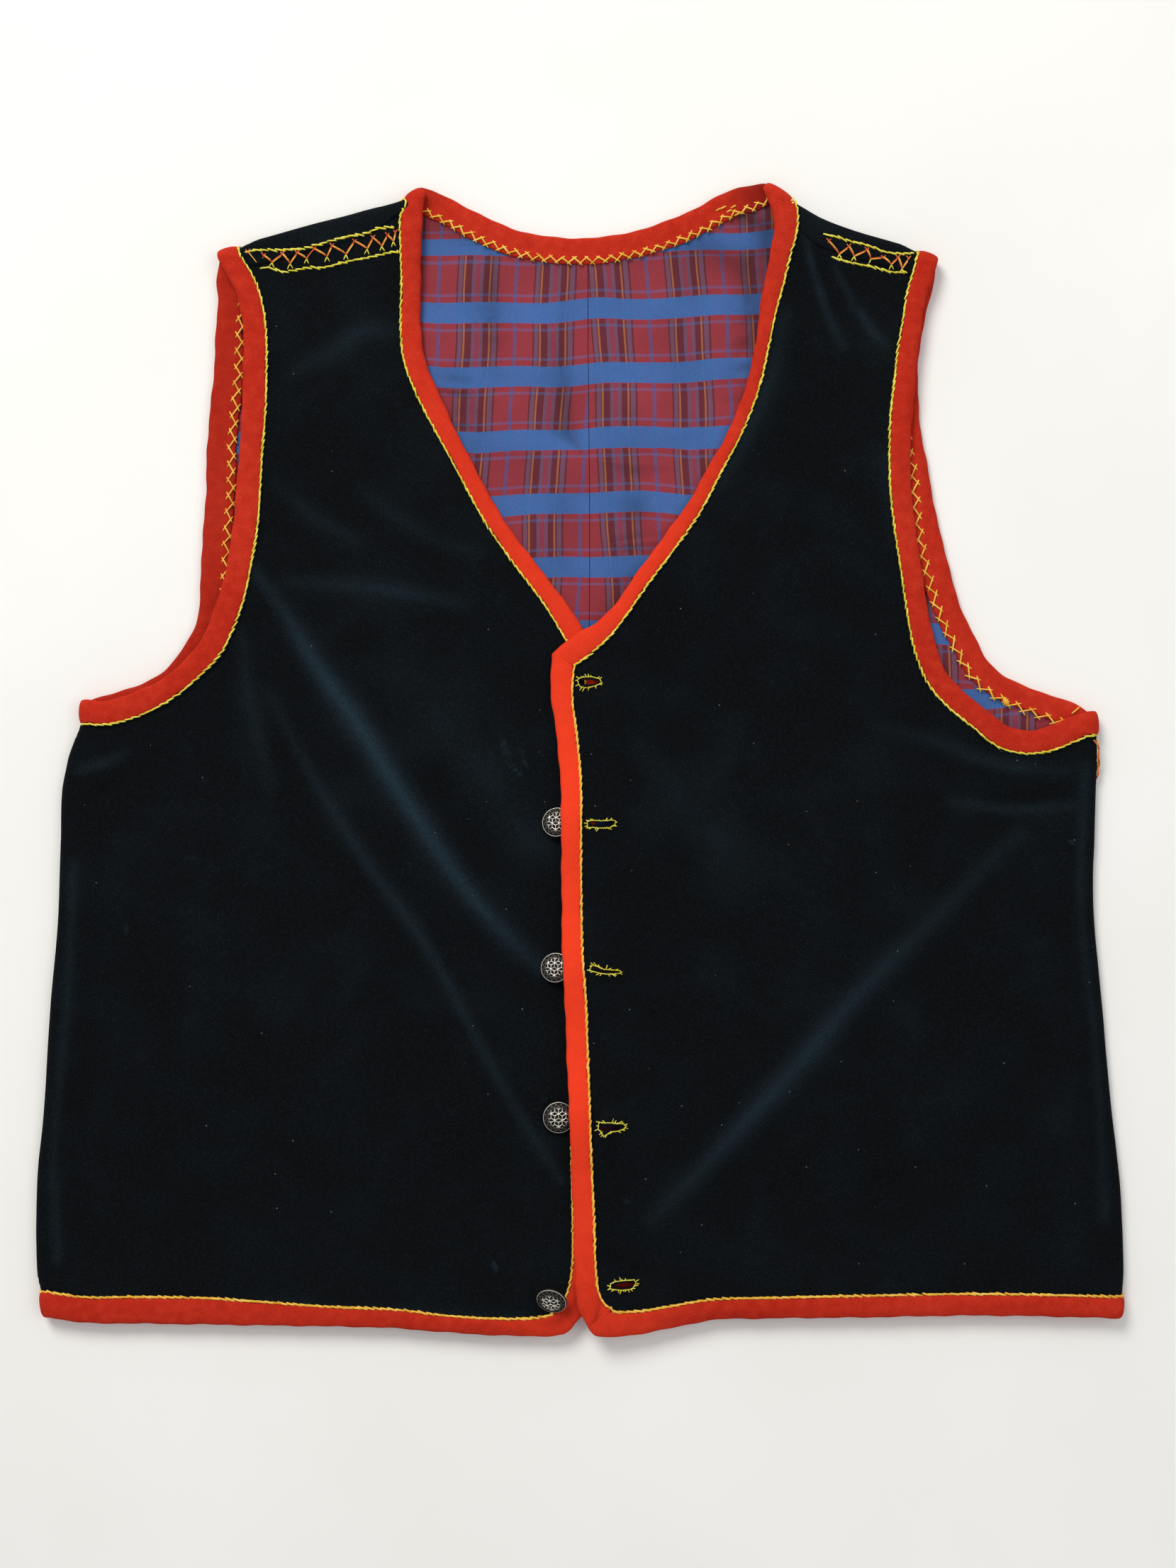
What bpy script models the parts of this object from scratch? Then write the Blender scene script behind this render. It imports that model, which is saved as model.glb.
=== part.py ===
"""A folk waistcoat laid out flat with its front up.

Two velvet fronts lie on a velvet back with a plaid lining. Folded wool bindings
hold every edge, and four domed buttons sit on the wearer's right front. The
wearer's left front laps over the right one. Left and right are the wearer's, so
the right front is at -X. Lengths are in millimetres until the meshes are made.
"""

import math
from collections import namedtuple

import bmesh
import bpy
import numpy as np
from mathutils import Euler, Vector
from mathutils.geometry import delaunay_2d_cdt

MM = 0.001

# Cloth thicknesses
VELVET = 1.0
LINING = 1.0
FRONT_WALL = 1.8
FLANNEL = 1.0
GAP = 0.3

# A binding is a strip folded over the edge of the cloth, which stops short of the fold
INSET = 1.5
PAST_BINDING = 0.5
BACK_HALF = (VELVET + GAP + LINING) / 2 + GAP + FLANNEL
FRONT_HALF = FRONT_WALL / 2 + GAP + FLANNEL
BACK_BINDING = 11.0
BINDING_ROUND = 1.1
BINDING_LIP = 0.15

# Side and shoulder folds, where the front turns into the back
FOLD_CORE = 0.4
FOLD_AXIS = 2 * BACK_HALF + FOLD_CORE
FOLD_FRONT = FOLD_AXIS + FOLD_CORE + FRONT_HALF
FREE_FOLD = 7.0
FOLD_ANGLES = (90, 54, 18, -18, -54, -90)
SEAM_FORWARD = 9.0
SEAM_DROP = 0.4
NECK_CLEARANCE = 20.0

# How far a raised edge reaches into the cloth before it lies flat again
EDGE_SHELF = 12.5
BACK_REACH = 14.0
FRONT_SHELF = 13.0
FRONT_REACH = 32.0
FRONT_REST = VELVET + LINING + 2 * GAP + FRONT_WALL
OVER_RIGHT_FRONT = 6.0
OVER_BACK_BINDING = 2.9
LAP_SHELF = 2.0
LAP_INNER_LINE = ((-150, 10), (-150, 540))

# Spacing of the worked-out points
EDGE_STEP = 16.0
CORNER_REACH = 18.0
BACK_EDGE_STEP = 19.0
FOLD_STEP = 24.0
FRONT_GRID = 21.0
BACK_GRID = 32.0
SEAM_STEP = 34.0
GRID_WIDE = 280
GRID_HIGH = 590

# Buttons and buttonholes
BUTTON_RADIUS = 8.0
BUTTON_SIDES = 20
BUTTON_PROFILE = (
    (2.2, 0.0), (2.2, 1.2), (7.6, 1.2), (8.0, 1.6), (7.7, 2.1), (6.6, 2.9), (4.6, 3.7), (2.3, 4.2),
)
BUTTON_TOP = 4.3
BUTTON_LIFT = 3.4
LIFT_REACH = 34.0
SLIT_HALF = (5.6, 1.3)
SLIT_SIDES = 10
RIDGE_END = 0.45

# Outer edge of the side folds, from the armhole to the hem: x, y
SIDE_FOLD = {
    "right": (
        (-254, 323.5), (-254, 311), (-257, 302), (-260.5, 289), (-263.5, 274), (-264.5, 248), (-265.5, 212),
        (-269.5, 161), (-273, 103), (-276, 81), (-277, 52), (-276.5, 35), (-274.5, 22), (-273.5, 10),
    ),
    "left": (
        (261.5, 318), (262, 305.5), (263, 296), (262.8, 284), (261.8, 271), (260.2, 248), (259.5, 222),
        (261, 205), (266, 141), (270, 101), (273.5, 80), (275.5, 56), (276.5, 37), (275, 22),
        (274.5, 9.5),
    ),
}

# Outer edge of the shoulder folds, from the armhole to the neck: x, y
SHOULDER_FOLD = {
    "right": (
        (-183.5, 550.5), (-171.5, 554), (-151, 560.5), (-137, 564.5), (-122.5, 568.5), (-108, 571.5),
        (-96.5, 574.5), (-90, 578), (-81, 584),
    ),
    "left": (
        (180.5, 548), (169, 552), (151, 557.5), (133, 562.5), (122.5, 566), (116, 570), (111.5, 574.5),
        (105, 579.5), (96, 585.5),
    ),
}

# Binding of the V neck, from the shoulder seam to the point: x, y, middle height, width
V_EDGE = {
    "right": (
        (-80.5, 570, 7.6, 11), (-81, 556.5, 7.4, 10.5), (-81.5, 535, 5.6, 9.5), (-81.5, 515, 4.8, 10),
        (-80, 499, 4.8, 10.5), (-74.5, 484.5, 4.8, 11), (-68, 470, 4.8, 11), (-61, 455, 4.8, 11),
        (-52, 438, 4.8, 10.5), (-40.5, 417, 4.8, 11), (-26.5, 397.5, 4.8, 11), (-11, 377.5, 4.8, 11),
        (2, 358.5, 4.8, 12), (8.5, 349, 4.8, 12), (14, 340.5, 4.8, 12),
    ),
    "left": (
        (98, 563.5, 7.6, 10.5), (95.8, 550, 6.8, 10.5), (93.5, 538, 5.6, 9.5), (91, 524, 4.8, 9),
        (88.5, 504.5, 4.8, 8.5), (85, 488, 4.8, 9), (81, 475.5, 4.8, 8.5), (75, 461, 4.8, 8),
        (65, 443, 4.8, 8), (54, 423.5, 5.2, 8.5), (39.5, 403.5, 6.2, 10.5), (26.5, 385.5, 7.8, 11),
        (15, 369.5, 9.2, 12), (7, 362, 9.5, 12.5), (-2, 357.5, 9.5, 13), (-15, 346.5, 9.5, 11.5),
    ),
}

# Binding of the centre edge and the hem, from the V point to the side fold: x, y, middle height, width
FRONT_EDGE = {
    "right": (
        (14, 340.5, 4.8, 12), (13.5, 331.5, 4.8, 11), (11.5, 315.5, 4.8, 11), (9, 297, 4.8, 11),
        (7.5, 280, 4.8, 11), (6.5, 229, 4.8, 11), (6.5, 157, 4.8, 11), (6.5, 85, 4.8, 11),
        (7, 56, 5.8, 11), (7, 40, 7.2, 11), (6, 29, 7.5, 11), (4, 18.5, 7.5, 11.5), (0, 10.5, 7.5, 12),
        (-3.5, 6, 7.5, 12.5), (-7, 3, 7.5, 12), (-12, 1, 7.5, 11), (-22, 0.5, 7.5, 9.5),
        (-43, 1, 7.5, 8.5), (-68.5, 2.5, 7.5, 8.5), (-93.5, 4.5, 7.5, 9.5), (-128, 5.5, 7.5, 10),
        (-162, 6, 7.5, 12), (-192, 6.5, 7.5, 13.5), (-227, 7, 7.5, 13.5), (-258, 8, 7.7, 13),
    ),
    "left": (
        (-15, 346.5, 9.5, 11.5), (-15.5, 336, 9.5, 11), (-15, 322.5, 9.5, 10.5), (-13, 308.5, 9.5, 11),
        (-11.5, 295, 9.5, 11), (-10.5, 281, 9.5, 11), (-10.2, 255, 9.5, 11), (-10, 229, 9.5, 11),
        (-9.5, 192, 9.5, 11), (-8.5, 174, 9.5, 11), (-7.5, 146, 9.5, 11), (-6.5, 123, 9.5, 11),
        (-5.5, 99.5, 9.5, 11), (-5, 81.5, 9.6, 11), (-4, 60, 10.6, 11), (-3.5, 36.5, 12.1, 11.5),
        (-3, 25.5, 12.3, 12), (-1.5, 16.5, 12.3, 13), (1.5, 9, 12.3, 13.5), (5.5, 4, 12.2, 13),
        (11, 1.5, 11.8, 12), (18.5, 1.2, 10.9, 11.5), (32.5, 2.5, 9.3, 11.5), (46.5, 5, 8.2, 11),
        (65, 8.5, 7.5, 10.5), (95, 9.5, 7.5, 10.5), (140.5, 10, 7.5, 11), (201, 11, 7.5, 11),
        (258, 10, 7.7, 11),
    ),
}
HEM_CORNER = {"right": (-3.5, 6), "left": (3, 6.5)}

# Front half of the armhole bindings, from the shoulder seam to the side fold: x, y, middle height, width
ARMHOLE_FRONT = {
    "right": (
        (-179.5, 538.5, 7.6, 11), (-175, 530, 7.5, 11), (-172.5, 518, 7.0, 11.5),
        (-171.5, 506, 6.7, 11.5), (-172, 488, 6.6, 12), (-172.5, 470, 6.6, 12), (-173.5, 452, 6.6, 11.5),
        (-175, 434, 6.6, 12), (-177, 412.5, 6.7, 12.5), (-179.5, 394.5, 7.0, 12),
        (-183, 379.5, 7.4, 12.5), (-188, 365, 7.5, 12.5), (-193.5, 353, 7.5, 12), (-201, 344, 7.5, 11),
        (-209.5, 336.5, 7.5, 11), (-220.5, 330, 7.5, 11.5), (-234, 325, 7.5, 12), (-243, 323, 7.7, 12),
    ),
    "left": (
        (178, 535.5, 7.6, 10.5), (175, 527, 7.5, 10), (173, 516, 7.5, 9.5), (171, 502.5, 7.5, 10),
        (169.5, 484.5, 7.5, 10.5), (168, 466.5, 7.5, 11), (167, 448.5, 7.5, 10.5),
        (167.5, 430.5, 7.4, 10.5), (169.5, 412.5, 7.1, 10.5), (172.5, 393, 6.8, 10.5),
        (175.5, 373, 6.5, 10.5), (180, 352, 6.3, 11), (186, 337, 6.3, 11), (195, 327, 6.5, 11),
        (206.5, 318, 6.6, 11), (216, 310.5, 6.5, 11.5), (225, 308, 6.6, 11.5), (235, 309.5, 7.0, 12),
        (245, 313.5, 7.5, 12), (252, 316, 7.7, 12),
    ),
}

# Back half of the armhole bindings, from the shoulder to the side fold: x, y
ARMHOLE_BACK = {
    "right": (
        (-185, 538), (-184.5, 527), (-185.5, 512), (-186, 499), (-187, 484.5), (-188.5, 470), (-190, 452),
        (-190.5, 430.5), (-191.5, 414.5), (-193, 394.5), (-193.5, 377), (-195, 364.5), (-198, 356.5),
        (-203.5, 348), (-209, 341), (-215.5, 335.5), (-223, 331.5), (-236, 327.5), (-244, 325),
    ),
    "left": (
        (179, 535), (176.5, 525), (173.5, 512), (171.5, 499), (171, 477.5), (173, 456), (176.5, 438.5),
        (179.5, 420), (184, 402), (189, 382), (194.5, 366), (200, 355), (206, 344), (214, 336),
        (227, 330), (245, 323.5), (253, 320.5),
    ),
}

# Back neck from the right shoulder to the left, and back hem from the right side to the left: x, y
BACK_NECK = (
    (-73, 581), (-65, 577.5), (-54, 571.5), (-43, 566), (-29, 561), (-14.5, 558.5), (3, 558), (16, 559.2),
    (29, 562), (43, 566.5), (57.5, 572.5), (73, 580), (85, 584.3),
)
BACK_HEM = (
    (-262, 10.5), (-225, 13), (-187, 14.5), (-93.5, 17.5), (1, 18), (93.5, 17.5), (187, 14.5), (225, 13),
    (262, 10.5),
)

# Centre-back seam of the lining, from the neck to the hem: x, y
CENTRE_SEAM = ((3.3, 518), (4.3, 400), (3.5, 314), (2, 211), (1, 47))

# Buttonholes in the left front: x, y, slope in degrees
BUTTONHOLES = ((3.5, 332.5, 0), (10.3, 261, 0), (12, 187, -9), (15, 106.5, -3), (22, 27, 0))

# Buttons on the right front: name, x, y, tilt in degrees about x and y, extra height
BUTTONS = (
    ("button_2", -12.5, 261, 0, 0, 0),
    ("button_3", -13, 187, 0, 0, 0),
    ("button_4", -11.5, 111.5, 0, 0, 0),
    ("button_5", -15, 18.5, 16, -17, 2.8),
)

# Soft folds pressed into the fronts: x and y of both ends, height, half width
RIDGES = {
    "right": (
        (-160, 396, -136, 349, 1.4, 22), (-136, 349, -88, 269, 2.2, 27), (-88, 269, -17, 182, 1.4, 20),
        (-140, 301, -73, 177, 1.2, 14), (-73, 177, -21, 94, 1.0, 13),
    ),
    "left": (
        (222, 261, 119, 157, 1.6, 24), (119, 157, 36, 62, 2.0, 28), (132, 533, 150, 508, 1.6, 13),
        (190, 283, 242, 279, 1.0, 12),
    ),
}

Station = namedtuple("Station", "edge across out width half cavity")
Column = namedtuple("Column", "edge out free")


def smoothstep(value):
    value = np.clip(value, 0.0, 1.0)
    return value * value * (3 - 2 * value)


def mix(a, b, share):
    return a + (b - a) * share


def unit(vector):
    vector = np.asarray(vector, float)
    return vector / np.linalg.norm(vector)


def smooth_curve(rows, step):
    """Points and directions of a smooth curve through the rows, with whole steps between them."""
    rows = np.array(rows, float)
    gaps = np.linalg.norm(np.diff(rows[:, :2], axis=0), axis=1)
    slopes = np.diff(rows, axis=0) / gaps[:, None]
    tangents = np.vstack([slopes[:1], slopes[:1], slopes[1:]])[: len(rows)]
    tangents[-1] = slopes[-1]
    for i in range(1, len(rows) - 1):
        tangents[i] = (slopes[i - 1] * gaps[i] + slopes[i] * gaps[i - 1]) / (gaps[i - 1] + gaps[i])
    points, directions = [], []
    for i, gap in enumerate(gaps):
        count = max(1, round(gap / step))
        last = i == len(gaps) - 1
        for k in range(count + last):
            t = k / count
            start, end = tangents[i] * gap, tangents[i + 1] * gap
            points.append(
                rows[i] * (2 * t**3 - 3 * t**2 + 1)
                + start * (t**3 - 2 * t**2 + t)
                + rows[i + 1] * (3 * t**2 - 2 * t**3)
                + end * (t**3 - t**2)
            )
            directions.append(
                rows[i] * (6 * t**2 - 6 * t)
                + start * (3 * t**2 - 4 * t + 1)
                + rows[i + 1] * (6 * t - 6 * t**2)
                + end * (3 * t**2 - 2 * t)
            )
    return np.array(points), [unit(d[:2]) for d in directions]


def eased(points, directions):
    """The directions averaged along the curve, so that lines square to it don't cross in a tight corner."""
    lengths = np.concatenate([[0], np.cumsum(np.linalg.norm(np.diff(points[:, :2], axis=0), axis=1))])
    spans = np.gradient(lengths)
    eased_directions = []
    for place in lengths:
        near = np.clip(CORNER_REACH - abs(lengths - place), 0, None) * spans
        eased_directions.append(unit((np.array(directions) * near[:, None]).sum(0)))
    return eased_directions


def beside(direction, towards):
    """The direction square to this one on the given side: 1 for left, -1 for right."""
    return np.array([-direction[1], direction[0]]) * towards


def distance_to(points, lines):
    """Distance from each point to each line, with the share along the line where it comes nearest."""
    starts, ends = lines[:, 0], lines[:, 1]
    along = ends - starts
    share = np.einsum("psk,sk->ps", points[:, None] - starts[None], along)
    share = np.clip(share / np.maximum((along**2).sum(1), 1e-9), 0, 1)
    nearest = starts[None] + along[None] * share[..., None]
    return np.linalg.norm(points[:, None] - nearest, axis=2), share


def inside(points, polygon):
    """Whether each point is inside the polygon."""
    x, y = points[:, 0, None], points[:, 1, None]
    x0, y0 = polygon[:, 0][None], polygon[:, 1][None]
    x1, y1 = np.roll(x0, -1, 1), np.roll(y0, -1, 1)
    crosses = (y0 > y) != (y1 > y)
    meets = x < (x1 - x0) * (y - y0) / np.where(y1 == y0, 1e-12, y1 - y0) + x0
    return (crosses & meets).sum(1) % 2 == 1


def segments(points):
    points = np.asarray(points, float)
    return np.stack([points[:-1, :2], points[1:, :2]], axis=1)


# Folds

def fold_radius(angle, free):
    """Radius of the velvet's outer face round a fold, which is tighter in front than behind."""
    behind = FOLD_CORE + 2 * BACK_HALF - FLANNEL - GAP
    before = FOLD_CORE + 2 * FRONT_HALF - FLANNEL - GAP
    return mix(mix(behind, before, (angle + 90) / 180), FREE_FOLD / 2, free)


def fold_axis(column):
    return column.edge - column.out * fold_radius(0, column.free)


def fold_point(column, angle):
    """Point and normal of the velvet's outer face at an angle round the fold: 90 in front, -90 behind."""
    radius = fold_radius(angle, column.free)
    turn = math.radians(angle)
    axis = fold_axis(column)
    height = mix(FOLD_AXIS, FREE_FOLD / 2, column.free)
    out = np.array([*(column.out * math.cos(turn)), math.sin(turn)])
    return np.array([*axis, height]) + out * radius, out


def fold_columns(rows, outward, widths, last_clearance):
    """Columns across a fold: two inside the binding at each end, and steps between."""
    rows = np.array(rows, float)
    dense, directions = smooth_curve(rows, 1.0)
    lengths = np.concatenate([[0], np.cumsum(np.linalg.norm(np.diff(dense, axis=0), axis=1))])
    total = lengths[-1]
    columns = []
    along = unit(rows[1] - rows[0])
    out = square_to(along, outward)
    for reach in (INSET, widths[0] + PAST_BINDING):
        columns.append(Column(rows[0] + along * reach, out, 0.0))
    first = widths[0] + PAST_BINDING + FOLD_STEP / 2
    last = total - widths[1] - PAST_BINDING - last_clearance
    for place in np.linspace(first, last, max(2, round((last - first) / FOLD_STEP) + 1)):
        i = int(np.searchsorted(lengths, place))
        free = smoothstep((min(place, total - place) - EDGE_SHELF) / BACK_REACH)
        columns.append(Column(dense[i], square_to(directions[i], outward), float(free)))
    along = unit(rows[-2] - rows[-1])
    out = square_to(along, outward)
    for reach in (widths[1] + PAST_BINDING, INSET):
        columns.append(Column(rows[-1] + along * reach, out, 0.0))
    return columns


def square_to(direction, outward):
    normal = beside(direction, 1)
    return normal if normal @ np.array(outward) > 0 else -normal


# Bindings

def front_station(row, across):
    return Station(
        np.array([row[0], row[1], row[2]]), np.array([*across, 0.0]), np.array([0, 0, 1.0]),
        row[3], FRONT_HALF, FRONT_HALF - FLANNEL,
    )


def back_station(row, across):
    return Station(
        np.array([row[0], row[1], BACK_HALF]), np.array([*across, 0.0]), np.array([0, 0, -1.0]),
        BACK_BINDING if len(row) < 3 else row[2], BACK_HALF, BACK_HALF - FLANNEL,
    )


def fold_end(rows, outward, end):
    """Axis point, outward direction and direction into the cloth at one end of a fold."""
    rows = np.array(rows, float)
    edge, other = (rows[0], rows[1]) if end == 0 else (rows[-1], rows[-2])
    across = unit(other - edge)
    out = square_to(across, outward)
    return edge - out * fold_radius(0, 0.0), out, across


def turn_stations(end, width_front, width_back):
    """Stations of a binding round a fold, from its front layer to its back layer."""
    axis, out, across = end
    stations = []
    for angle in FOLD_ANGLES:
        share = (angle + 90) / 180
        half = mix(BACK_HALF, FRONT_HALF, share)
        turn = math.radians(angle)
        normal = np.array([*(out * math.cos(turn)), math.sin(turn)])
        edge = np.array([*axis, FOLD_AXIS]) + normal * (FOLD_CORE + half)
        width = mix(width_back, width_front, share)
        stations.append(Station(edge, np.array([*across, 0.0]), normal, width, half, half - FLANNEL))
    return stations


def mitred(first, second):
    """The direction across a corner between two edges, long enough to reach both bindings' inner lines."""
    return (first + second) / (1 + first @ second)


def front_chain(side):
    """Stations along the V, the centre edge and the hem of one front, and where their bindings join."""
    towards = 1 if side == "left" else -1
    neck = fold_end(SHOULDER_FOLD[side], (0, 1), 1)
    hem = fold_end(SIDE_FOLD[side], (towards, 0), 1)
    v_rows = [(*neck[0], FOLD_FRONT, V_EDGE[side][0][3]), *V_EDGE[side]]
    edge_rows = [*FRONT_EDGE[side], (*hem[0], FOLD_FRONT, FRONT_EDGE[side][-1][3])]
    v_points, v_directions = smooth_curve(v_rows, EDGE_STEP)
    edge_points, edge_directions = smooth_curve(edge_rows, EDGE_STEP)
    v_across = [beside(d, towards) for d in v_directions]
    edge_across = [beside(d, towards) for d in eased(edge_points, edge_directions)]
    v_across[0] = neck[2]
    v_across[-1] = mitred(v_across[-1], edge_across[0])
    edge_across[-1] = hem[2]
    stations = [front_station(p, a) for p, a in zip(v_points, v_across)]
    corner = len(stations) - 1
    stations += [front_station(p, a) for p, a in zip(edge_points[1:], edge_across[1:])]
    places = np.array([s.edge[:2] for s in stations])
    hem_corner = int(np.argmin(np.linalg.norm(places - np.array(HEM_CORNER[side]), axis=1)))
    if side == "left":
        stations = [lifted(s) for s in stations]
    return stations, corner, hem_corner


def lifted(station):
    """The lapping edge rides up over each button under it."""
    if station.edge[0] > BUTTON_RADIUS or station.edge[1] > BUTTONS[0][2] + LIFT_REACH:
        return station
    lift = 0.0
    for _, x, y, *_ in BUTTONS[:3]:
        away = abs(station.edge[1] - y) / LIFT_REACH
        if away < 1:
            lift = max(lift, BUTTON_LIFT * math.cos(away * math.pi / 2) ** 2)
    return station._replace(edge=station.edge + np.array([0, 0, lift]))


def armhole_chain(side, rows, make, step, front):
    """Stations along one half of an armhole binding, from the shoulder fold to the side fold."""
    towards = 1 if side == "right" else -1
    outward = (-1, 0) if side == "right" else (1, 0)
    shoulder = fold_end(SHOULDER_FOLD[side], (0, 1), 0)
    underarm = fold_end(SIDE_FOLD[side], outward, 0)
    if front:
        rows = [(*shoulder[0], FOLD_FRONT, rows[0][3]), *rows, (*underarm[0], FOLD_FRONT, rows[-1][3])]
    else:
        rows = [tuple(shoulder[0]), *rows, tuple(underarm[0])]
    points, directions = smooth_curve(rows, step)
    across = [beside(d, towards) for d in directions]
    across[0], across[-1] = shoulder[2], underarm[2]
    return [make(p, a) for p, a in zip(points, across)]


def back_chain(rows, first, last, towards):
    """Stations along the back neck or the back hem, from the right fold to the left one."""
    rows = [tuple(first[0]), *rows, tuple(last[0])]
    points, directions = smooth_curve(rows, BACK_EDGE_STEP)
    across = [beside(d, towards) for d in directions]
    across[0], across[-1] = first[2], last[2]
    return [back_station(p, a) for p, a in zip(points, across)]


def binding_section(station):
    """Outline of the folded strip: along the outside, round the edge and back along the cloth it holds."""
    width, half, cavity = station.width, station.half, station.cavity
    shoulder, lip = half - BINDING_ROUND / 4, half - BINDING_LIP
    return (
        (width, lip), (width / 2, half), (BINDING_ROUND, shoulder), (0, half / 2),
        (0, -half / 2), (BINDING_ROUND, -shoulder), (width / 2, -half), (width, -lip),
        (width, -cavity), (FLANNEL, -cavity), (FLANNEL, cavity), (width, cavity),
    )


def between(first, second, share):
    """A station part of the way from one to the next."""
    return Station(*(mix(a, b, share) for a, b in zip(first, second)))


def trimmed(stations, start, end):
    """The stations with half a seam gap taken off the ends that meet another binding."""
    stations = list(stations)
    if start:
        reach = np.linalg.norm(stations[1].edge - stations[0].edge)
        stations[0] = between(stations[0], stations[1], GAP / 2 / reach)
    if end:
        reach = np.linalg.norm(stations[-1].edge - stations[-2].edge)
        stations[-1] = between(stations[-1], stations[-2], GAP / 2 / reach)
    return stations


def make_object(name, vertices, faces, material):
    mesh = bpy.data.meshes.new(name)
    work = bmesh.new()
    made = [work.verts.new(Vector(v) * MM) for v in vertices]
    for face in faces:
        work.faces.new([made[i] for i in face])
    bmesh.ops.recalc_face_normals(work, faces=work.faces)
    work.to_mesh(mesh)
    work.free()
    mesh.materials.append(material)
    thing = bpy.data.objects.new(name, mesh)
    bpy.context.scene.collection.objects.link(thing)
    return thing


def make_binding(name, stations, material, closed=False):
    vertices, faces = [], []
    for station in stations:
        for a, n in binding_section(station):
            vertices.append(station.edge + station.across * a + station.out * n)
    count = len(binding_section(stations[0]))
    rings = len(stations)
    for i in range(rings if closed else rings - 1):
        here, after = i * count, (i + 1) % rings * count
        for k in range(count):
            m = (k + 1) % count
            faces.append((here + k, here + m, after + m, after + k))
    if not closed:
        faces.append(tuple(range(count)))
        faces.append(tuple((rings - 1) * count + k for k in range(count)))
    thing = make_object(name, vertices, faces, material)
    thing.data.shade_smooth()
    thing.data.set_sharp_from_angle(angle=math.radians(50))
    return thing


# Panels

class Sheet:
    """A cloth panel, kept as points of its outer face with their normals and places in the plan."""

    def __init__(self):
        self.plan, self.outer, self.out, self.faces = [], [], [], []

    def add(self, plan, outer, out):
        self.plan.append(np.array(plan, float))
        self.outer.append(np.array(outer, float))
        self.out.append(np.array(out, float))
        return len(self.plan) - 1

    def station(self, station, reach, depth, out=None):
        """A point under a binding, at a reach from its edge and a depth from its middle."""
        place = station.edge + station.across * reach + station.out * depth
        return self.add(place[:2], place, station.out if out is None else out)

    def ring(self, stations, depth, out=None):
        """Two lines of points along a bound edge: under the binding, and just past it."""
        first = [self.station(s, INSET, depth, out) for s in stations]
        second = [self.station(s, s.width + PAST_BINDING, depth, out) for s in stations]
        return first, second

    def fold(self, columns, angles, start):
        """Rows of points round a fold. The plan lays them out flat beyond the angle where they start."""
        rows = []
        for angle in angles:
            row = []
            for column in columns:
                place, out = fold_point(column, angle)
                reach = math.radians(abs(angle - start)) * fold_radius(angle, column.free)
                row.append(self.add(fold_axis(column) + column.out * reach, place, out))
            rows.append(row)
        return rows

    def strip(self, first, second):
        for i in range(len(first) - 1):
            self.faces.append((first[i], first[i + 1], second[i + 1], second[i]))

    def fill(self, loop, step, height, out, holes=(), line=()):
        """Triangles inside a loop of points, round the holes, with new points on a grid and on the line."""
        outline = np.array([self.plan[i] for i in loop])
        grid = []
        for r, y in enumerate(np.arange(step / 2, GRID_HIGH, step * 0.87)):
            for x in np.arange((r % 2) * step / 2 + step / 2, GRID_WIDE, step):
                grid += [(x, y), (-x, y)]
        grid = np.array(grid)
        closed = segments(np.vstack([outline, outline[:1]]))
        if len(line):
            closed = np.vstack([closed, segments(line)])
        keep = inside(grid, outline) & (distance_to(grid, closed)[0].min(1) > step * 0.5)
        for hole in holes:
            rim = segments(np.vstack([hole, hole[:1]]))
            keep &= ~inside(grid, hole) & (distance_to(grid, rim)[0].min(1) > step * 0.35)
        grid = np.vstack([grid[keep], np.reshape(line, (-1, 2))])
        cuts = [[self.add(p, (*p, z), out) for p, z in zip(hole, height(hole))] for hole in holes]
        new = [self.add(p, (*p, z), out) for p, z in zip(grid, height(grid))]
        indices = list(loop) + [i for cut in cuts for i in cut] + new
        places = {index: i for i, index in enumerate(indices)}
        rims = [list(loop), *cuts]
        edges = [(places[rim[i - 1]], places[rim[i]]) for rim in rims for i in range(len(rim))]
        points = [Vector(self.plan[i]) for i in indices]
        found, _, triangles, sources, _, _ = delaunay_2d_cdt(points, edges, [], 0, 1e-5)
        if len(found) != len(points):
            raise ValueError("two edges of a panel cross")
        centres = np.array([sum((np.array(found[i]) for i in t), np.zeros(2)) / 3 for t in triangles])
        keep = inside(centres, outline)
        for hole in holes:
            keep &= ~inside(centres, hole)
        for triangle, wanted in zip(triangles, keep):
            if wanted:
                self.faces.append(tuple(indices[sources[i][0]] for i in triangle))

    def solid(self, name, thickness, material):
        """The panel as a closed wall: its outer face, the same face moved in, and the edges between."""
        count = len(self.outer)
        inner = [p - n * thickness for p, n in zip(self.outer, self.out)]
        faces = list(self.faces) + [tuple(count + i for i in reversed(f)) for f in self.faces]
        edges = {}
        for face in self.faces:
            for i, start in enumerate(face):
                end = face[(i + 1) % len(face)]
                edges.setdefault(frozenset((start, end)), []).append((start, end))
        for found in edges.values():
            if len(found) == 1:
                start, end = found[0]
                faces.append((end, start, count + start, count + end))
        thing = make_object(name, self.outer + inner, faces, material)
        thing.data.shade_smooth()
        thing.data.set_sharp_from_angle(angle=math.radians(40))
        return thing


def plan_line(stations):
    return np.array([s.edge[:2] for s in stations])


def centre_seam():
    return smooth_curve(CENTRE_SEAM, SEAM_STEP)[0]


def back_rise(points, back_lines):
    """Height of the back above the floor, raised along its bound edges by the binding under it."""
    away = distance_to(points, back_lines)[0].min(1)
    return (FLANNEL + GAP) * (1 - smoothstep((away - EDGE_SHELF) / BACK_REACH))


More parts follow.
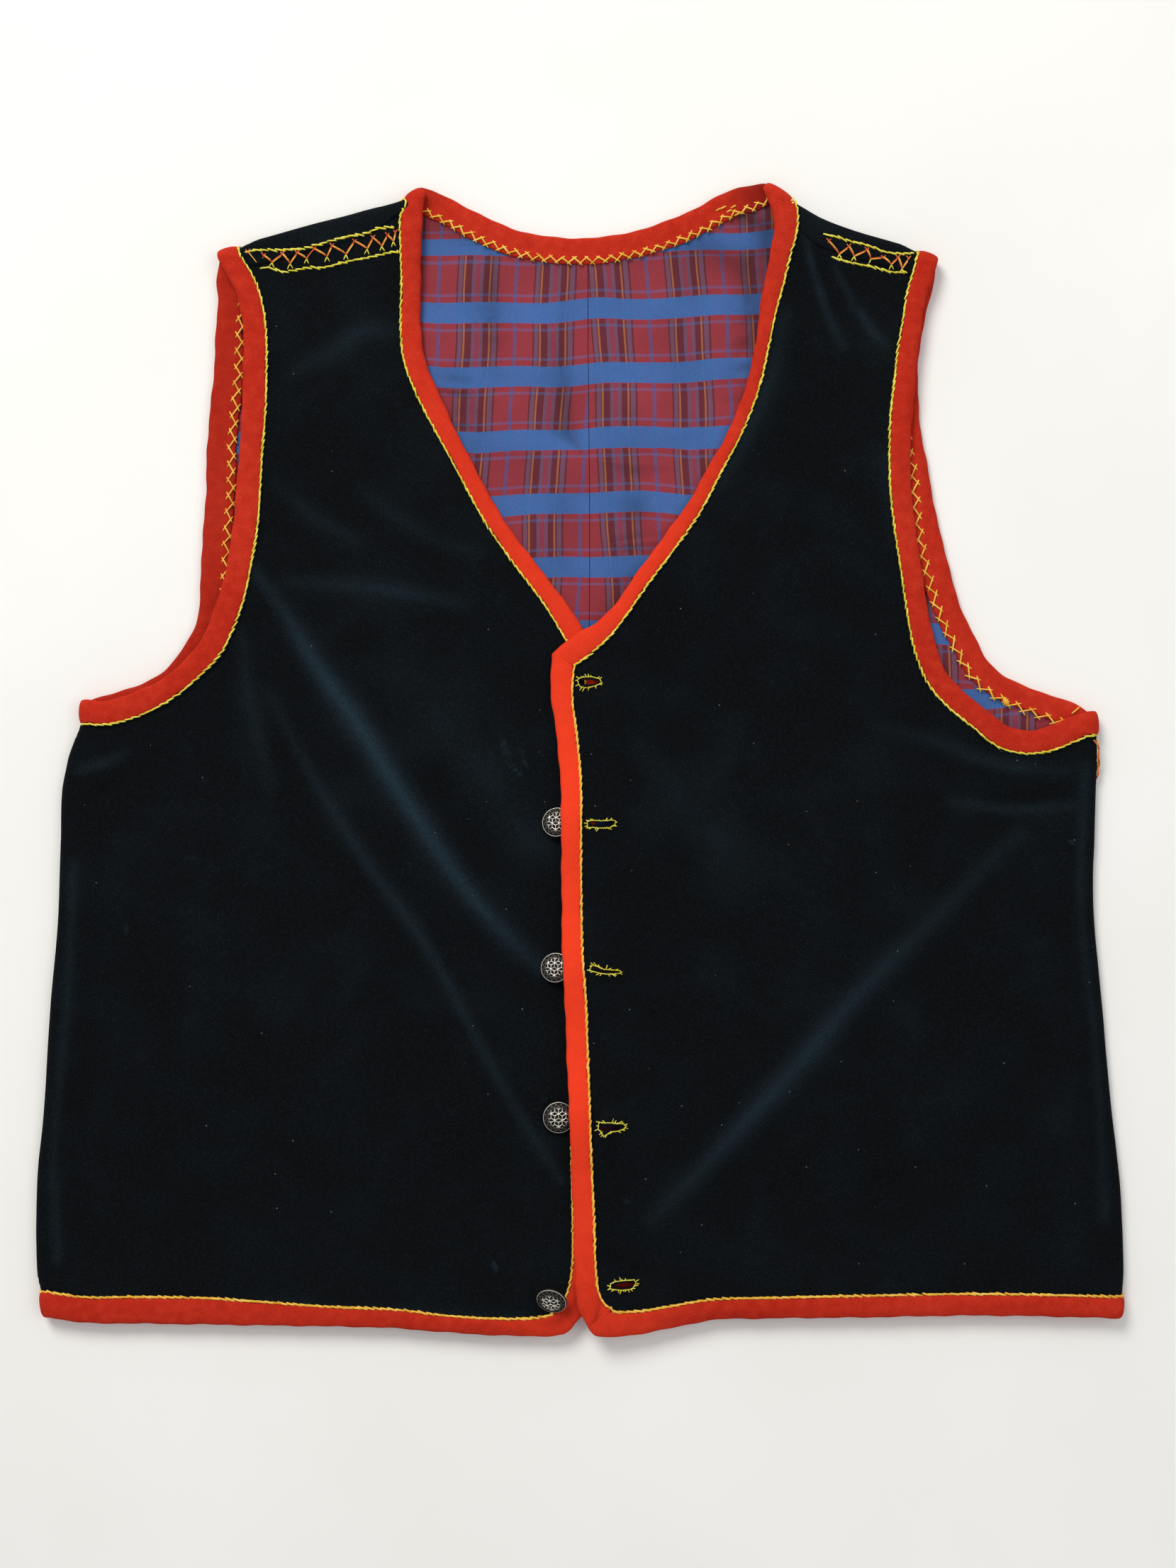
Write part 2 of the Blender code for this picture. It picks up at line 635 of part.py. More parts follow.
def ridge_height(points, ridges):
    """Height that the soft folds add. Each is highest in its middle and dies out at both ends."""
    total = np.zeros(len(points))
    for x0, y0, x1, y1, height, half_width in ridges:
        away, share = distance_to(points, segments([(x0, y0), (x1, y1)]))
        across = np.clip(away[:, 0] / half_width, 0, 1)
        ends = mix(RIDGE_END, 1, np.sin(math.pi * share[:, 0]))
        total = np.maximum(total, height * ends * np.cos(across * math.pi / 2) ** 2)
    return total


def front_height(side, rims, back_lines, right_outline):
    """A function for the height of a front's top face between its edges."""

    def height(points):
        points = np.asarray(points, float)
        extra = np.zeros(len(points))
        for line, heights, shelf in rims:
            away, share = distance_to(points, segments(line))
            levels = mix(heights[:-1][None], heights[1:][None], share)
            fall = 1 - smoothstep((away - shelf) / FRONT_REACH)
            extra = np.maximum(extra, ((levels - FRONT_REST) * fall).max(1))
        away = distance_to(points, back_lines)[0].min(1)
        extra = np.maximum(extra, OVER_BACK_BINDING * (1 - smoothstep((away - FRONT_SHELF) / FRONT_REACH)))
        if side == "left":
            closed = segments(np.vstack([right_outline, right_outline[:1]]))
            away = np.where(inside(points, right_outline), 0, distance_to(points, closed)[0].min(1))
            extra = np.maximum(extra, OVER_RIGHT_FRONT * (1 - smoothstep((away - LAP_SHELF) / FRONT_REACH)))
        return FRONT_REST + np.maximum(extra, ridge_height(points, RIDGES[side]))

    return height


def slit(x, y, slope):
    """Outline of an open buttonhole: a narrow lens."""
    turn = math.radians(slope)
    ring = []
    for k in range(SLIT_SIDES):
        angle = k * math.tau / SLIT_SIDES
        a = SLIT_HALF[0] * math.cos(angle)
        b = SLIT_HALF[1] * math.sin(angle)
        along, beyond = math.cos(turn), math.sin(turn)
        ring.append((x + a * along - b * beyond, y + a * beyond + b * along))
    return np.array(ring)


def seam_points(columns, forward):
    """Places across a shoulder at a distance in front of its fold, with their heights."""
    out = square_to(unit(columns[-1].edge - columns[0].edge), (0, 1))
    at_fold = FOLD_FRONT + FRONT_WALL / 2
    return [(fold_axis(c) - out * forward, mix(at_fold, FREE_FOLD, c.free) - SEAM_DROP) for c in columns]


def make_front(side, chains, sides, shoulders, back_lines, right_outline, material):
    """A front, from its shoulder seam to its side seam, with the function of its height."""
    chain, armhole = chains["front", side], chains["arm_front", side]
    columns, shoulder = sides[side], shoulders[side]
    depth = FRONT_WALL / 2
    up = (0, 0, 1.0)
    gap_angle = math.degrees(GAP / 2 / fold_radius(0, 1.0))
    sheet = Sheet()
    grid = sheet.fold(columns, (90, 54, 18, gap_angle), 90)
    first, second = sheet.ring(trimmed(chain[1:-1], True, False), depth)
    first.append(grid[0][-1])
    second.append(grid[0][-2])
    arm_first, arm_second = sheet.ring(trimmed(armhole[1:-1], True, False), depth)
    arm_first.append(grid[0][0])
    arm_second.append(grid[0][1])
    seam = seam_points(shoulder[2:-2], SEAM_FORWARD + GAP / 2)
    seam_row = [sheet.add(p, (*p, z), up) for p, z in seam]
    sheet.strip(first, second)
    sheet.strip(arm_first, arm_second)
    for upper, lower in zip(grid, grid[1:]):
        sheet.strip(upper, lower)
    rims = [
        (plan_line(chain[1:]), np.array([s.edge[2] + depth for s in chain[1:]]), FRONT_SHELF),
        (plan_line(armhole[1:]), np.array([s.edge[2] + depth for s in armhole[1:]]), FRONT_SHELF),
        (np.array([p for p, _ in seam]), np.array([z for _, z in seam]), 0.0),
        (
            np.array([fold_axis(c) for c in columns]),
            np.array([fold_point(c, 90)[0][2] for c in columns]),
            0.0,
        ),
    ]
    height = front_height(side, rims, back_lines, right_outline)
    holes = [slit(*row) for row in BUTTONHOLES] if side == "left" else []
    loop = second[:-1] + grid[0][-2:0:-1] + arm_second[-2::-1] + seam_row
    sheet.fill(loop, FRONT_GRID, height, up, holes)
    return sheet.solid(f"front_{side}", FRONT_WALL, material), height


def make_back(chains, sides, shoulders, back_lines, material):
    """The back, which turns up at the sides to the side seams and over the shoulders to their seams."""
    depth = BACK_HALF - FLANNEL - GAP
    down = (0, 0, -1.0)
    gap_angle = math.degrees(GAP / 2 / fold_radius(0, 1.0))
    sheet = Sheet()
    side_grids, shoulder_grids = {}, {}
    for side in ("right", "left"):
        side_grids[side] = sheet.fold(sides[side], (-90, -54, -18, -gap_angle), -90)
        rows = sheet.fold(shoulders[side], tuple(reversed(FOLD_ANGLES)), -90)
        rows.append(flap_row(sheet, side, chains, shoulders[side]))
        shoulder_grids[side] = rows
        for grid in (side_grids[side], rows):
            for upper, lower in zip(grid, grid[1:]):
                sheet.strip(upper, lower)
    inner = {}
    ends = {
        "neck": (shoulder_grids["right"][0], shoulder_grids["left"][0]),
        "hem": (side_grids["right"][0], side_grids["left"][0]),
    }
    for name, (start, stop) in ends.items():
        first, second = sheet.ring(chains[name][1:-1], depth)
        sheet.strip([start[-1], *first, stop[-1]], [start[-2], *second, stop[-2]])
        inner[name] = second
    for side in ("right", "left"):
        first, second = sheet.ring(chains["arm_back", side][1:-1], depth)
        start, stop = shoulder_grids[side][0], side_grids[side][0]
        sheet.strip([start[0], *first, stop[0]], [start[1], *second, stop[1]])
        inner[side] = second
    loop = (
        inner["neck"] + shoulder_grids["left"][0][-2:0:-1] + inner["left"] + side_grids["left"][0][1:-1]
        + inner["hem"][::-1] + side_grids["right"][0][-2:0:-1] + inner["right"][::-1]
        + shoulder_grids["right"][0][1:-1]
    )
    sheet.fill(loop, BACK_GRID, lambda p: back_rise(np.asarray(p), back_lines), down, line=centre_seam())
    return sheet.solid("back", VELVET, material)


def flap_row(sheet, side, chains, columns):
    """The back's last row in front of a shoulder fold, half a gap short of the shoulder seam."""
    beyond = math.pi * fold_radius(0, 0.0) + SEAM_FORWARD
    ends = []
    for name, reaches in (("arm_front", (INSET, None)), ("front", (None, INSET))):
        station = trimmed(chains[name, side][:2], False, True)[1]
        for reach in reaches:
            reach = station.width + PAST_BINDING if reach is None else reach
            ends.append(station.edge + station.across * reach + station.out * FRONT_WALL / 2)
    seam = [(*place, z) for place, z in seam_points(columns[2:-2], SEAM_FORWARD - GAP / 2)]
    places = [*ends[:2], *seam, *ends[2:]]
    return [sheet.add(fold_axis(c) + c.out * beyond, p, (0, 0, 1.0)) for c, p in zip(columns, places)]


def make_lining(side, chains, sides, shoulders, back_lines, material):
    """Half of the back lining, from the centre-back seam to the folds. It lies on the velvet."""
    depth = -(BACK_HALF - FLANNEL - GAP)
    up = (0, 0, 1.0)
    sheet = Sheet()
    neck, hem, arm = chains["neck"], chains["hem"], chains["arm_back", side]
    at_neck = int(np.argmin([abs(s.edge[0] - BACK_NECK[6][0]) for s in neck]))
    at_hem = int(np.argmin([abs(s.edge[0] - BACK_HEM[4][0]) for s in hem]))
    half_gap = np.array([GAP / 2 if side == "left" else -GAP / 2, 0, 0])
    if side == "right":
        neck_part = neck[at_neck:0:-1]
        hem_part = hem[1 : at_hem + 1]
    else:
        neck_part = neck[at_neck:-1]
        hem_part = hem[-2 : at_hem - 1 : -1]
    neck_part = [neck_part[0]._replace(edge=neck_part[0].edge + half_gap), *neck_part[1:]]
    hem_part = [*hem_part[:-1], hem_part[-1]._replace(edge=hem_part[-1].edge + half_gap)]
    neck_first, neck_second = sheet.ring(neck_part, depth, up)
    arm_first, arm_second = sheet.ring(arm[1:-1], depth, up)
    hem_first, hem_second = sheet.ring(hem_part, depth, up)
    rows = {}
    for name, columns in (("shoulder", shoulders[side]), ("side", sides[side])):
        row = []
        for column in columns:
            place = fold_axis(column) - column.out * PAST_BINDING
            rise = mix(FLANNEL + GAP, 0, column.free) + VELVET + GAP + LINING
            row.append(sheet.add(place, (*place, rise), up))
        rows[name] = row
    shoulder, side_row = rows["shoulder"], rows["side"]
    sheet.strip([*neck_first, shoulder[-1]], [*neck_second, shoulder[-2]])
    sheet.strip([shoulder[0], *arm_first, side_row[0]], [shoulder[1], *arm_second, side_row[1]])
    sheet.strip([side_row[-1], *hem_first], [side_row[-2], *hem_second])

    def height(points):
        return back_rise(np.asarray(points), back_lines) + VELVET + GAP + LINING

    seam = centre_seam()[::-1] + half_gap[:2]
    seam_row = [sheet.add(p, (*p, z), up) for p, z in zip(seam, height(seam))]
    loop = neck_second + shoulder[-2:0:-1] + arm_second + side_row[1:-1] + hem_second + seam_row
    sheet.fill(loop, BACK_GRID, height, up)
    return sheet.solid(f"lining_{side}", LINING, material)


# Buttons

def make_button(name, x, y, tilt_x, tilt_y, extra, height, material):
    """A turned dome on a short shank, standing just above the velvet."""
    vertices = [(0, 0, BUTTON_PROFILE[0][1])]
    faces = []
    for radius, z in BUTTON_PROFILE:
        for k in range(BUTTON_SIDES):
            angle = k * math.tau / BUTTON_SIDES
            vertices.append((radius * math.cos(angle), radius * math.sin(angle), z))
    vertices.append((0, 0, BUTTON_TOP))
    top = len(vertices) - 1
    for k in range(BUTTON_SIDES):
        after = (k + 1) % BUTTON_SIDES
        faces.append((0, 1 + after, 1 + k))
        for r in range(len(BUTTON_PROFILE) - 1):
            low, high = 1 + r * BUTTON_SIDES, 1 + (r + 1) * BUTTON_SIDES
            faces.append((low + k, low + after, high + after, high + k))
        last = 1 + (len(BUTTON_PROFILE) - 1) * BUTTON_SIDES
        faces.append((last + k, last + after, top))
    thing = make_object(name, vertices, faces, material)
    thing.data.shade_smooth()
    thing.data.set_sharp_from_angle(angle=math.radians(40))
    level = float(height(np.array([[x, y]]))[0]) + GAP + extra
    thing.location = Vector((x, y, level)) * MM
    thing.rotation_euler = Euler((math.radians(tilt_x), math.radians(tilt_y), 0))
    return thing


def make_material(name, colour, roughness, metallic=0.0):
    """A plain finish from an sRGB colour."""
    material = bpy.data.materials.new(name)
    material.use_nodes = True
    shader = material.node_tree.nodes["Principled BSDF"]
    levels = [int(colour[i : i + 2], 16) / 255 for i in (1, 3, 5)]
    linear = [c / 12.92 if c <= 0.04045 else ((c + 0.055) / 1.055) ** 2.4 for c in levels]
    shader.inputs["Base Color"].default_value = (*linear, 1)
    shader.inputs["Roughness"].default_value = roughness
    shader.inputs["Metallic"].default_value = metallic
    return material


def clear_scene():
    for thing in list(bpy.data.objects):
        bpy.data.objects.remove(thing, do_unlink=True)


def build():
    clear_scene()
    velvet = make_material("navy cotton velvet", "#0d141b", 0.9)
    plaid = make_material("plaid cotton lining", "#8a3347", 0.9)
    flannel = make_material("red wool flannel", "#c9301c", 0.95)
    pewter = make_material("pewter", "#9a978f", 0.4, 1.0)

    outward = {"right": (-1, 0), "left": (1, 0)}
    chains, corners, sides, shoulders = {}, {}, {}, {}
    for side in ("right", "left"):
        chain, v_point, hem_corner = front_chain(side)
        chains["front", side] = chain
        corners[side] = (v_point, hem_corner)
        rows = ARMHOLE_FRONT[side]
        chains["arm_front", side] = armhole_chain(side, rows, front_station, EDGE_STEP, True)
        rows = ARMHOLE_BACK[side]
        chains["arm_back", side] = armhole_chain(side, rows, back_station, BACK_EDGE_STEP, False)
        widths = (chains["arm_front", side][-1].width, chain[-1].width)
        sides[side] = fold_columns(SIDE_FOLD[side], outward[side], widths, FOLD_STEP / 2)
        widths = (chains["arm_front", side][0].width, chain[0].width)
        shoulders[side] = fold_columns(SHOULDER_FOLD[side], (0, 1), widths, NECK_CLEARANCE)
    neck_ends = [fold_end(SHOULDER_FOLD[side], (0, 1), 1) for side in ("right", "left")]
    hem_ends = [fold_end(SIDE_FOLD[side], outward[side], 1) for side in ("right", "left")]
    chains["neck"] = back_chain(BACK_NECK, *neck_ends, -1)
    chains["hem"] = back_chain(BACK_HEM, *hem_ends, 1)
    names = ("neck", "hem", ("arm_back", "right"), ("arm_back", "left"))
    back_lines = np.vstack([segments(plan_line(chains[name])) for name in names])

    made = [make_back(chains, sides, shoulders, back_lines, velvet)]
    for side in ("right", "left"):
        made.append(make_lining(side, chains, sides, shoulders, back_lines, plaid))
    right_line = plan_line(chains["front", "right"])
    right_outline = np.vstack([right_line, LAP_INNER_LINE])
    heights = {}
    for side in ("right", "left"):
        front, heights[side] = make_front(side, chains, sides, shoulders, back_lines, right_outline, velvet)
        made.append(front)

    halves = {"neck": [], "hem": []}
    for i, side in enumerate(("right", "left")):
        chain, arm = chains["front", side], chains["arm_front", side]
        v_point, hem_corner = corners[side]
        centre = trimmed(chain[v_point : hem_corner + 1], True, True)
        made.append(make_binding(f"front_binding_{side}", centre, flannel))
        neck_turn = turn_stations(neck_ends[i], chain[0].width, BACK_BINDING)
        hem_turn = turn_stations(hem_ends[i], chain[-1].width, BACK_BINDING)
        halves["neck"].append(trimmed(chain[1 : v_point + 1], False, True)[::-1] + neck_turn)
        halves["hem"].append(trimmed(chain[hem_corner:-1], True, False) + hem_turn)
        shoulder_turn = turn_stations(fold_end(SHOULDER_FOLD[side], (0, 1), 0), arm[0].width, BACK_BINDING)
        under_turn = turn_stations(fold_end(SIDE_FOLD[side], outward[side], 0), arm[-1].width, BACK_BINDING)
        ring = arm[1:-1] + under_turn + chains["arm_back", side][-2:0:-1] + shoulder_turn[::-1]
        made.append(make_binding(f"armhole_binding_{side}", ring, flannel, closed=True))
    for name, (right, left) in halves.items():
        made.append(make_binding(f"{name}_binding", right + chains[name][1:-1] + left[::-1], flannel))
    for row in BUTTONS:
        made.append(make_button(*row, heights["right"], pewter))

    bpy.context.view_layer.update()
    places = np.array([[*(thing.matrix_world @ v.co)] for thing in made for v in thing.data.vertices])
    low, high = places.min(0), places.max(0)
    vest = bpy.data.objects.new("vest", None)
    bpy.context.scene.collection.objects.link(vest)
    vest.location = (-(low[0] + high[0]) / 2, -(low[1] + high[1]) / 2, -low[2])
    for thing in made:
        thing.parent = vest


build()
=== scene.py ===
# %% [markdown]
# # A folk waistcoat, laid out flat
#
# This lesson dresses a plain model of a velvet waistcoat. The plain model has the right size and the
# right place for every cut piece. Here each piece gets its cloth, its nap, its creases and its
# stitches. Left and right are the wearer's, so the right front lies at -X.

import itertools
import math
import random
from collections import namedtuple

import bmesh
import bpy
import numpy as np
from mathutils import Matrix, Vector
from mathutils.bvhtree import BVHTree


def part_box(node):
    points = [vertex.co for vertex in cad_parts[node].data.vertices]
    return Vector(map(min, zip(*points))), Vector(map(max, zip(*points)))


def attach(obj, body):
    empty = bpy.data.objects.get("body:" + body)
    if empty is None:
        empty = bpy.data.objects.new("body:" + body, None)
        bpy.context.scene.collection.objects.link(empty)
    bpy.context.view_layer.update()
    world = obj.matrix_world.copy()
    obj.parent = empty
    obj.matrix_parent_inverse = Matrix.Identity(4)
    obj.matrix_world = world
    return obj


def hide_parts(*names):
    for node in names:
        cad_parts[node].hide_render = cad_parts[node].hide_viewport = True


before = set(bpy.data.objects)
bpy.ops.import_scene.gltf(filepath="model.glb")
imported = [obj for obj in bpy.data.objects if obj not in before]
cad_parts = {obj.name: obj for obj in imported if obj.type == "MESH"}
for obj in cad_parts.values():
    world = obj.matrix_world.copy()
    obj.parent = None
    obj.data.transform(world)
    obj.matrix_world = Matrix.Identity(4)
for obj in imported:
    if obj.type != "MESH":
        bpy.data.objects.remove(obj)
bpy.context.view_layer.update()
MM = 0.001
print("nodes:", sorted(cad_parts))

# %% [markdown]
# ## Where things are
#
# A maker would draw the waistcoat flat, from its centre line and its hem. The tables below do the same,
# in millimetres. The model's own origin is elsewhere, so one button that appears in both, the third one,
# gives the shift between the two.

# %% From the drawing to the model
low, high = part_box("button_3")
DRAWN_BUTTON = (-13, 187)
SHIFT = np.array([(low[i] + high[i]) / 2 / MM - DRAWN_BUTTON[i] for i in (0, 1)] + [0.0])


def to_model(points):
    """Drawing millimetres to model metres."""
    return (np.asarray(points, float) + SHIFT) * MM


print("shift in mm:", SHIFT.round(2))

# %% [markdown]
# ## Edges of the waistcoat
#
# Every edge is held by a folded strip of red wool. Each row of a table is a point on the outer edge of
# that strip: x, y, the height of its middle above the table, and how wide the strip lies on the cloth.
# The back's edges lie on the table and the folds keep one height, so their rows need only x and y. The
# three buttons that the left front rides over need only their y.

# %% The edges, from the drawing
SIDE_FOLD = {
    "right": (
        (-254, 323.5), (-254, 311), (-257, 302), (-260.5, 289), (-263.5, 274), (-264.5, 248), (-265.5, 212),
        (-269.5, 161), (-273, 103), (-276, 81), (-277, 52), (-276.5, 35), (-274.5, 22), (-273.5, 10),
    ),
    "left": (
        (261.5, 318), (262, 305.5), (263, 296), (262.8, 284), (261.8, 271), (260.2, 248), (259.5, 222),
        (261, 205), (266, 141), (270, 101), (273.5, 80), (275.5, 56), (276.5, 37), (275, 22), (274.5, 9.5),
    ),
}
SHOULDER_FOLD = {
    "right": (
        (-185.2, 550.9), (-171.5, 554), (-151, 560.5), (-137, 564.5), (-122.5, 568.5), (-108, 571.5),
        (-96.5, 574.5), (-90, 578), (-81, 584),
    ),
    "left": (
        (181.6, 548), (169, 552), (151, 557.5), (133, 562.5), (122.5, 566), (116, 570), (111.5, 574.5),
        (105, 579.5), (94.5, 586.5),
    ),
}
V_EDGE = {
    "right": (
        (-80.5, 570, 7.6, 11), (-81, 556.5, 7.4, 10.5), (-81.5, 535, 5.6, 9.5), (-81.5, 515, 4.8, 10),
        (-80, 499, 4.8, 10.3), (-74.5, 484.5, 4.8, 10.5), (-68, 470, 4.8, 9.8), (-61, 455, 4.8, 8.7),
        (-52, 438, 4.8, 8.6), (-40.5, 417, 4.8, 8.5), (-26.5, 397.5, 4.8, 8.8), (-11, 377.5, 4.8, 9.2),
        (2, 358.5, 4.8, 10.5), (8.5, 349, 4.8, 11.5), (14, 340.5, 4.8, 12),
    ),
    "left": (
        (98, 563.5, 7.6, 11.4), (95.8, 550, 6.8, 9.9), (93.5, 538, 5.6, 9.5), (91, 524, 4.8, 8.2),
        (88.5, 504.5, 4.8, 6.6), (85, 488, 4.8, 6.5), (81, 475.5, 4.8, 6.5), (75, 461, 4.8, 6.5),
        (65, 443, 4.8, 6.8), (54, 423.5, 5.2, 7.6), (39.5, 403.5, 6.2, 8), (26.5, 385.5, 7.8, 7.6),
        (15, 369.5, 9.2, 8), (7, 362, 9.5, 9.8), (-2, 357.5, 9.5, 12.6), (-15, 346.5, 9.5, 11.5),
    ),
}
FRONT_EDGE = {
    "right": (
        (14, 340.5, 4.8, 12), (13.5, 331.5, 4.8, 11), (11.5, 315.5, 4.8, 11), (9, 297, 4.8, 11),
        (7.5, 280, 4.8, 11), (6.5, 229, 4.8, 11), (6.5, 157, 4.8, 11), (6.5, 85, 4.8, 11), (7, 56, 5.8, 11),
        (7, 40, 7.2, 11), (6, 29, 7.5, 11), (4, 18.5, 7.5, 11.5), (0, 10.5, 7.5, 12), (-3.6, 6, 7.5, 12.5),
        (-6.6, 2.8, 7.5, 12), (-8.8, 1.4, 7.5, 11.5), (-12, 0.9, 7.5, 11), (-22, 0.5, 7.5, 9.5),
        (-43, 1, 7.5, 8.5), (-68.5, 2.5, 7.5, 8.5), (-93.5, 4.5, 7.5, 9.5), (-128, 5.5, 7.5, 10),
        (-162, 6, 7.5, 12), (-192, 6.5, 7.5, 13.5), (-227, 7, 7.5, 13.5), (-258, 8, 7.7, 13),
    ),
    "left": (
        (-15, 346.5, 9.5, 11.5), (-15.5, 336, 9.5, 11), (-15, 322.5, 9.5, 10.2), (-13, 308.5, 9.5, 10),
        (-11.5, 295, 9.5, 10), (-10.5, 281, 9.5, 10), (-10.2, 255, 9.5, 9.8), (-10, 229, 9.5, 9.7),
        (-9.5, 192, 9.5, 10), (-8.5, 174, 9.5, 10.4), (-7.5, 146, 9.5, 10.4), (-6.5, 123, 9.5, 10.3),
        (-5.5, 99.5, 9.5, 10), (-5, 81.5, 9.6, 10.2), (-4, 60, 10.6, 10.2), (-3.5, 36.5, 12.1, 10.5),
        (-3, 25.5, 12.3, 11), (-1.5, 16.5, 12.3, 12), (1.3, 9.8, 12.3, 13.4), (4.6, 4.6, 12.2, 15.5),
        (7, 1.9, 12.0, 15.5), (10.5, 1.0, 11.8, 14), (18.5, 1.2, 10.9, 12.5), (32.5, 2.5, 9.3, 11.5),
        (46.5, 5, 8.2, 11), (65, 8.5, 7.5, 10.5), (95, 9.5, 7.5, 10.5), (140.5, 10, 7.5, 11),
        (201, 11, 7.5, 11), (258, 10, 7.7, 11),
    ),
}
ARMHOLE_FRONT = {
    "right": (
        (-179.5, 538.5, 7.6, 11), (-175, 530, 7.5, 11), (-172.5, 518, 7.0, 11.5), (-171.5, 506, 6.7, 11.5),
        (-172, 488, 6.6, 12), (-172.5, 470, 6.6, 12), (-173.5, 452, 6.6, 11.5), (-175, 434, 6.6, 12),
        (-177, 412.5, 6.7, 12.5), (-179.5, 394.5, 7.0, 12), (-183, 379.5, 7.4, 12.5), (-188, 365, 7.5, 12.5),
        (-193.5, 353, 7.5, 12), (-201, 344, 7.5, 11), (-209.5, 336.5, 7.5, 11), (-220.5, 330, 7.5, 11.5),
        (-234, 325, 7.5, 12), (-243, 323, 7.7, 12),
    ),
    "left": (
        (178, 535.5, 7.6, 10.5), (175, 527, 7.5, 10), (173, 516, 7.5, 9.5), (171, 502.5, 7.5, 10),
        (169.5, 484.5, 7.5, 10.5), (168, 466.5, 7.5, 11), (167, 448.5, 7.5, 10.5), (167.5, 430.5, 7.4, 10.5),
        (169.5, 412.5, 7.1, 10.5), (172.5, 393, 6.8, 10.5), (175.5, 373, 6.5, 10.5), (180, 352, 6.3, 11),
        (186, 337, 6.3, 11), (195, 327, 6.5, 11), (206.5, 318, 6.6, 11), (216, 310.5, 6.5, 11.5),
        (225, 308, 6.6, 11.5), (235, 309.5, 7.0, 12), (245, 313.5, 7.5, 12), (252, 316, 7.7, 12),
    ),
}
ARMHOLE_BACK = {
    "right": (
        (-185, 538), (-184.5, 527), (-185.5, 512), (-186, 499), (-187, 484.5), (-188.5, 470), (-190, 452),
        (-190.5, 430.5), (-191.5, 414.5), (-193, 394.5), (-193.5, 377), (-195, 364.5), (-198, 356.5),
        (-203.5, 348), (-209, 341), (-215.5, 335.5), (-223, 331.5), (-236, 327.5), (-244, 325),
    ),
    "left": (
        (179, 535), (176.5, 525), (173.5, 512), (171.5, 499), (171, 477.5), (173, 456), (176.5, 438.5),
        (179.5, 420), (184, 402), (189, 382), (194.5, 366), (200, 355), (206, 344), (214, 336), (227, 330),
        (245, 323.5), (253, 320.5),
    ),
}
BACK_NECK = (
    (-81, 583.6), (-75.5, 581.8), (-65, 577.2), (-54, 571.3), (-43, 566), (-29, 561), (-14.5, 558.5),
    (3, 558), (16, 559.2), (29, 562), (43, 566.5), (57.5, 572.8), (69, 579), (77.6, 582.8), (86, 584.8),
    (91.4, 585.6), (96, 585.2),
)
BACK_HEM = (
    (-262, 10.5), (-225, 13), (-187, 14.5), (-93.5, 17.5), (1, 18), (93.5, 17.5), (187, 14.5), (225, 13),
    (262, 10.5),
)
HEM_CORNER = {"right": (-3.5, 6), "left": (3, 6.5)}
LAPPED_BUTTONS_Y = (261, 187, 111.5)
print("rows in the edge tables:", sum(len(t[s]) for t in (V_EDGE, FRONT_EDGE, ARMHOLE_FRONT) for s in t))

# %% [markdown]
# ## Camera
#
# The photographer stood over the table and looked straight down. The camera's height and lens are worked
# out so that the frame holds the same stretch as the photograph, measured at the height of the fronts.
# Small things, such as single stitches, are listed further down by their place in the photograph. One
# function turns such a place into drawing millimetres.

# %% Camera
PHOTO = (1659, 2212)
MM_PER_PIXEL = 0.36
CENTRE_PIXEL = (820, 1886)
CAMERA_HEIGHT = 1.1
FRONTS_HEIGHT_MM = 7
SENSOR = 36.0


def drawn(pixels):
    """Photograph pixels to drawing millimetres."""
    return [((x - CENTRE_PIXEL[0]) * MM_PER_PIXEL, (CENTRE_PIXEL[1] - y) * MM_PER_PIXEL) for x, y in pixels]


def in_scene(name, data):
    """A new object with this data, linked to the scene."""
    made = bpy.data.objects.new(name, data)
    bpy.context.scene.collection.objects.link(made)
    return made


view_x, view_y = drawn([(PHOTO[0] / 2, PHOTO[1] / 2)])[0]
camera_data = bpy.data.cameras.new("camera")
camera_data.sensor_width = SENSOR
camera_data.lens = SENSOR * (CAMERA_HEIGHT - FRONTS_HEIGHT_MM * MM) / (PHOTO[1] * MM_PER_PIXEL * MM)
camera = in_scene("camera", camera_data)
camera.location = (*to_model((view_x, view_y, 0))[:2], CAMERA_HEIGHT)
bpy.context.scene.camera = camera
print("lens in mm:", round(camera_data.lens, 1))

# %% [markdown]
# ## Colours and nodes
#
# Colours are picked as hex values, which are sRGB. Blender's shaders want linear values, so one function
# turns the one into the other. Another adds a shader node with its settings and links.

# %% Colour and node helpers
def colour(code):
    """A hex colour as linear red, green and blue, with an alpha of 1."""
    levels = [int(code[i : i + 2], 16) / 255 for i in (1, 3, 5)]
    return (*(c / 12.92 if c <= 0.04045 else ((c + 0.055) / 1.055) ** 2.4 for c in levels), 1)


def add(material, kind, inputs=None, stops=None, **settings):
    """Adds one shader node. Inputs are values or the sockets to link from, and stops are a ramp's."""
    tree = material.node_tree
    made = tree.nodes.new(f"ShaderNode{kind}")
    for name, value in settings.items():
        setattr(made, name, value)
    for name, value in (inputs or {}).items():
        if isinstance(value, bpy.types.NodeSocket):
            tree.links.new(value, made.inputs[name])
        else:
            made.inputs[name].default_value = value
    if stops:
        ramp = made.color_ramp
        while len(ramp.elements) < len(stops):
            ramp.elements.new(0.5)
        for element, (place, code) in zip(ramp.elements, stops):
            element.position = place
            element.color = colour(code) if isinstance(code, str) else (code, code, code, 1)
    return made


def new_material(name):
    material = bpy.data.materials.new(name)
    material.use_nodes = True
    material.node_tree.nodes.clear()
    return material


def finish_material(material, shader):
    add(material, "OutputMaterial", {"Surface": shader.outputs["BSDF"]})
    material.diffuse_color = (0.3, 0.3, 0.3, 1)
    return material


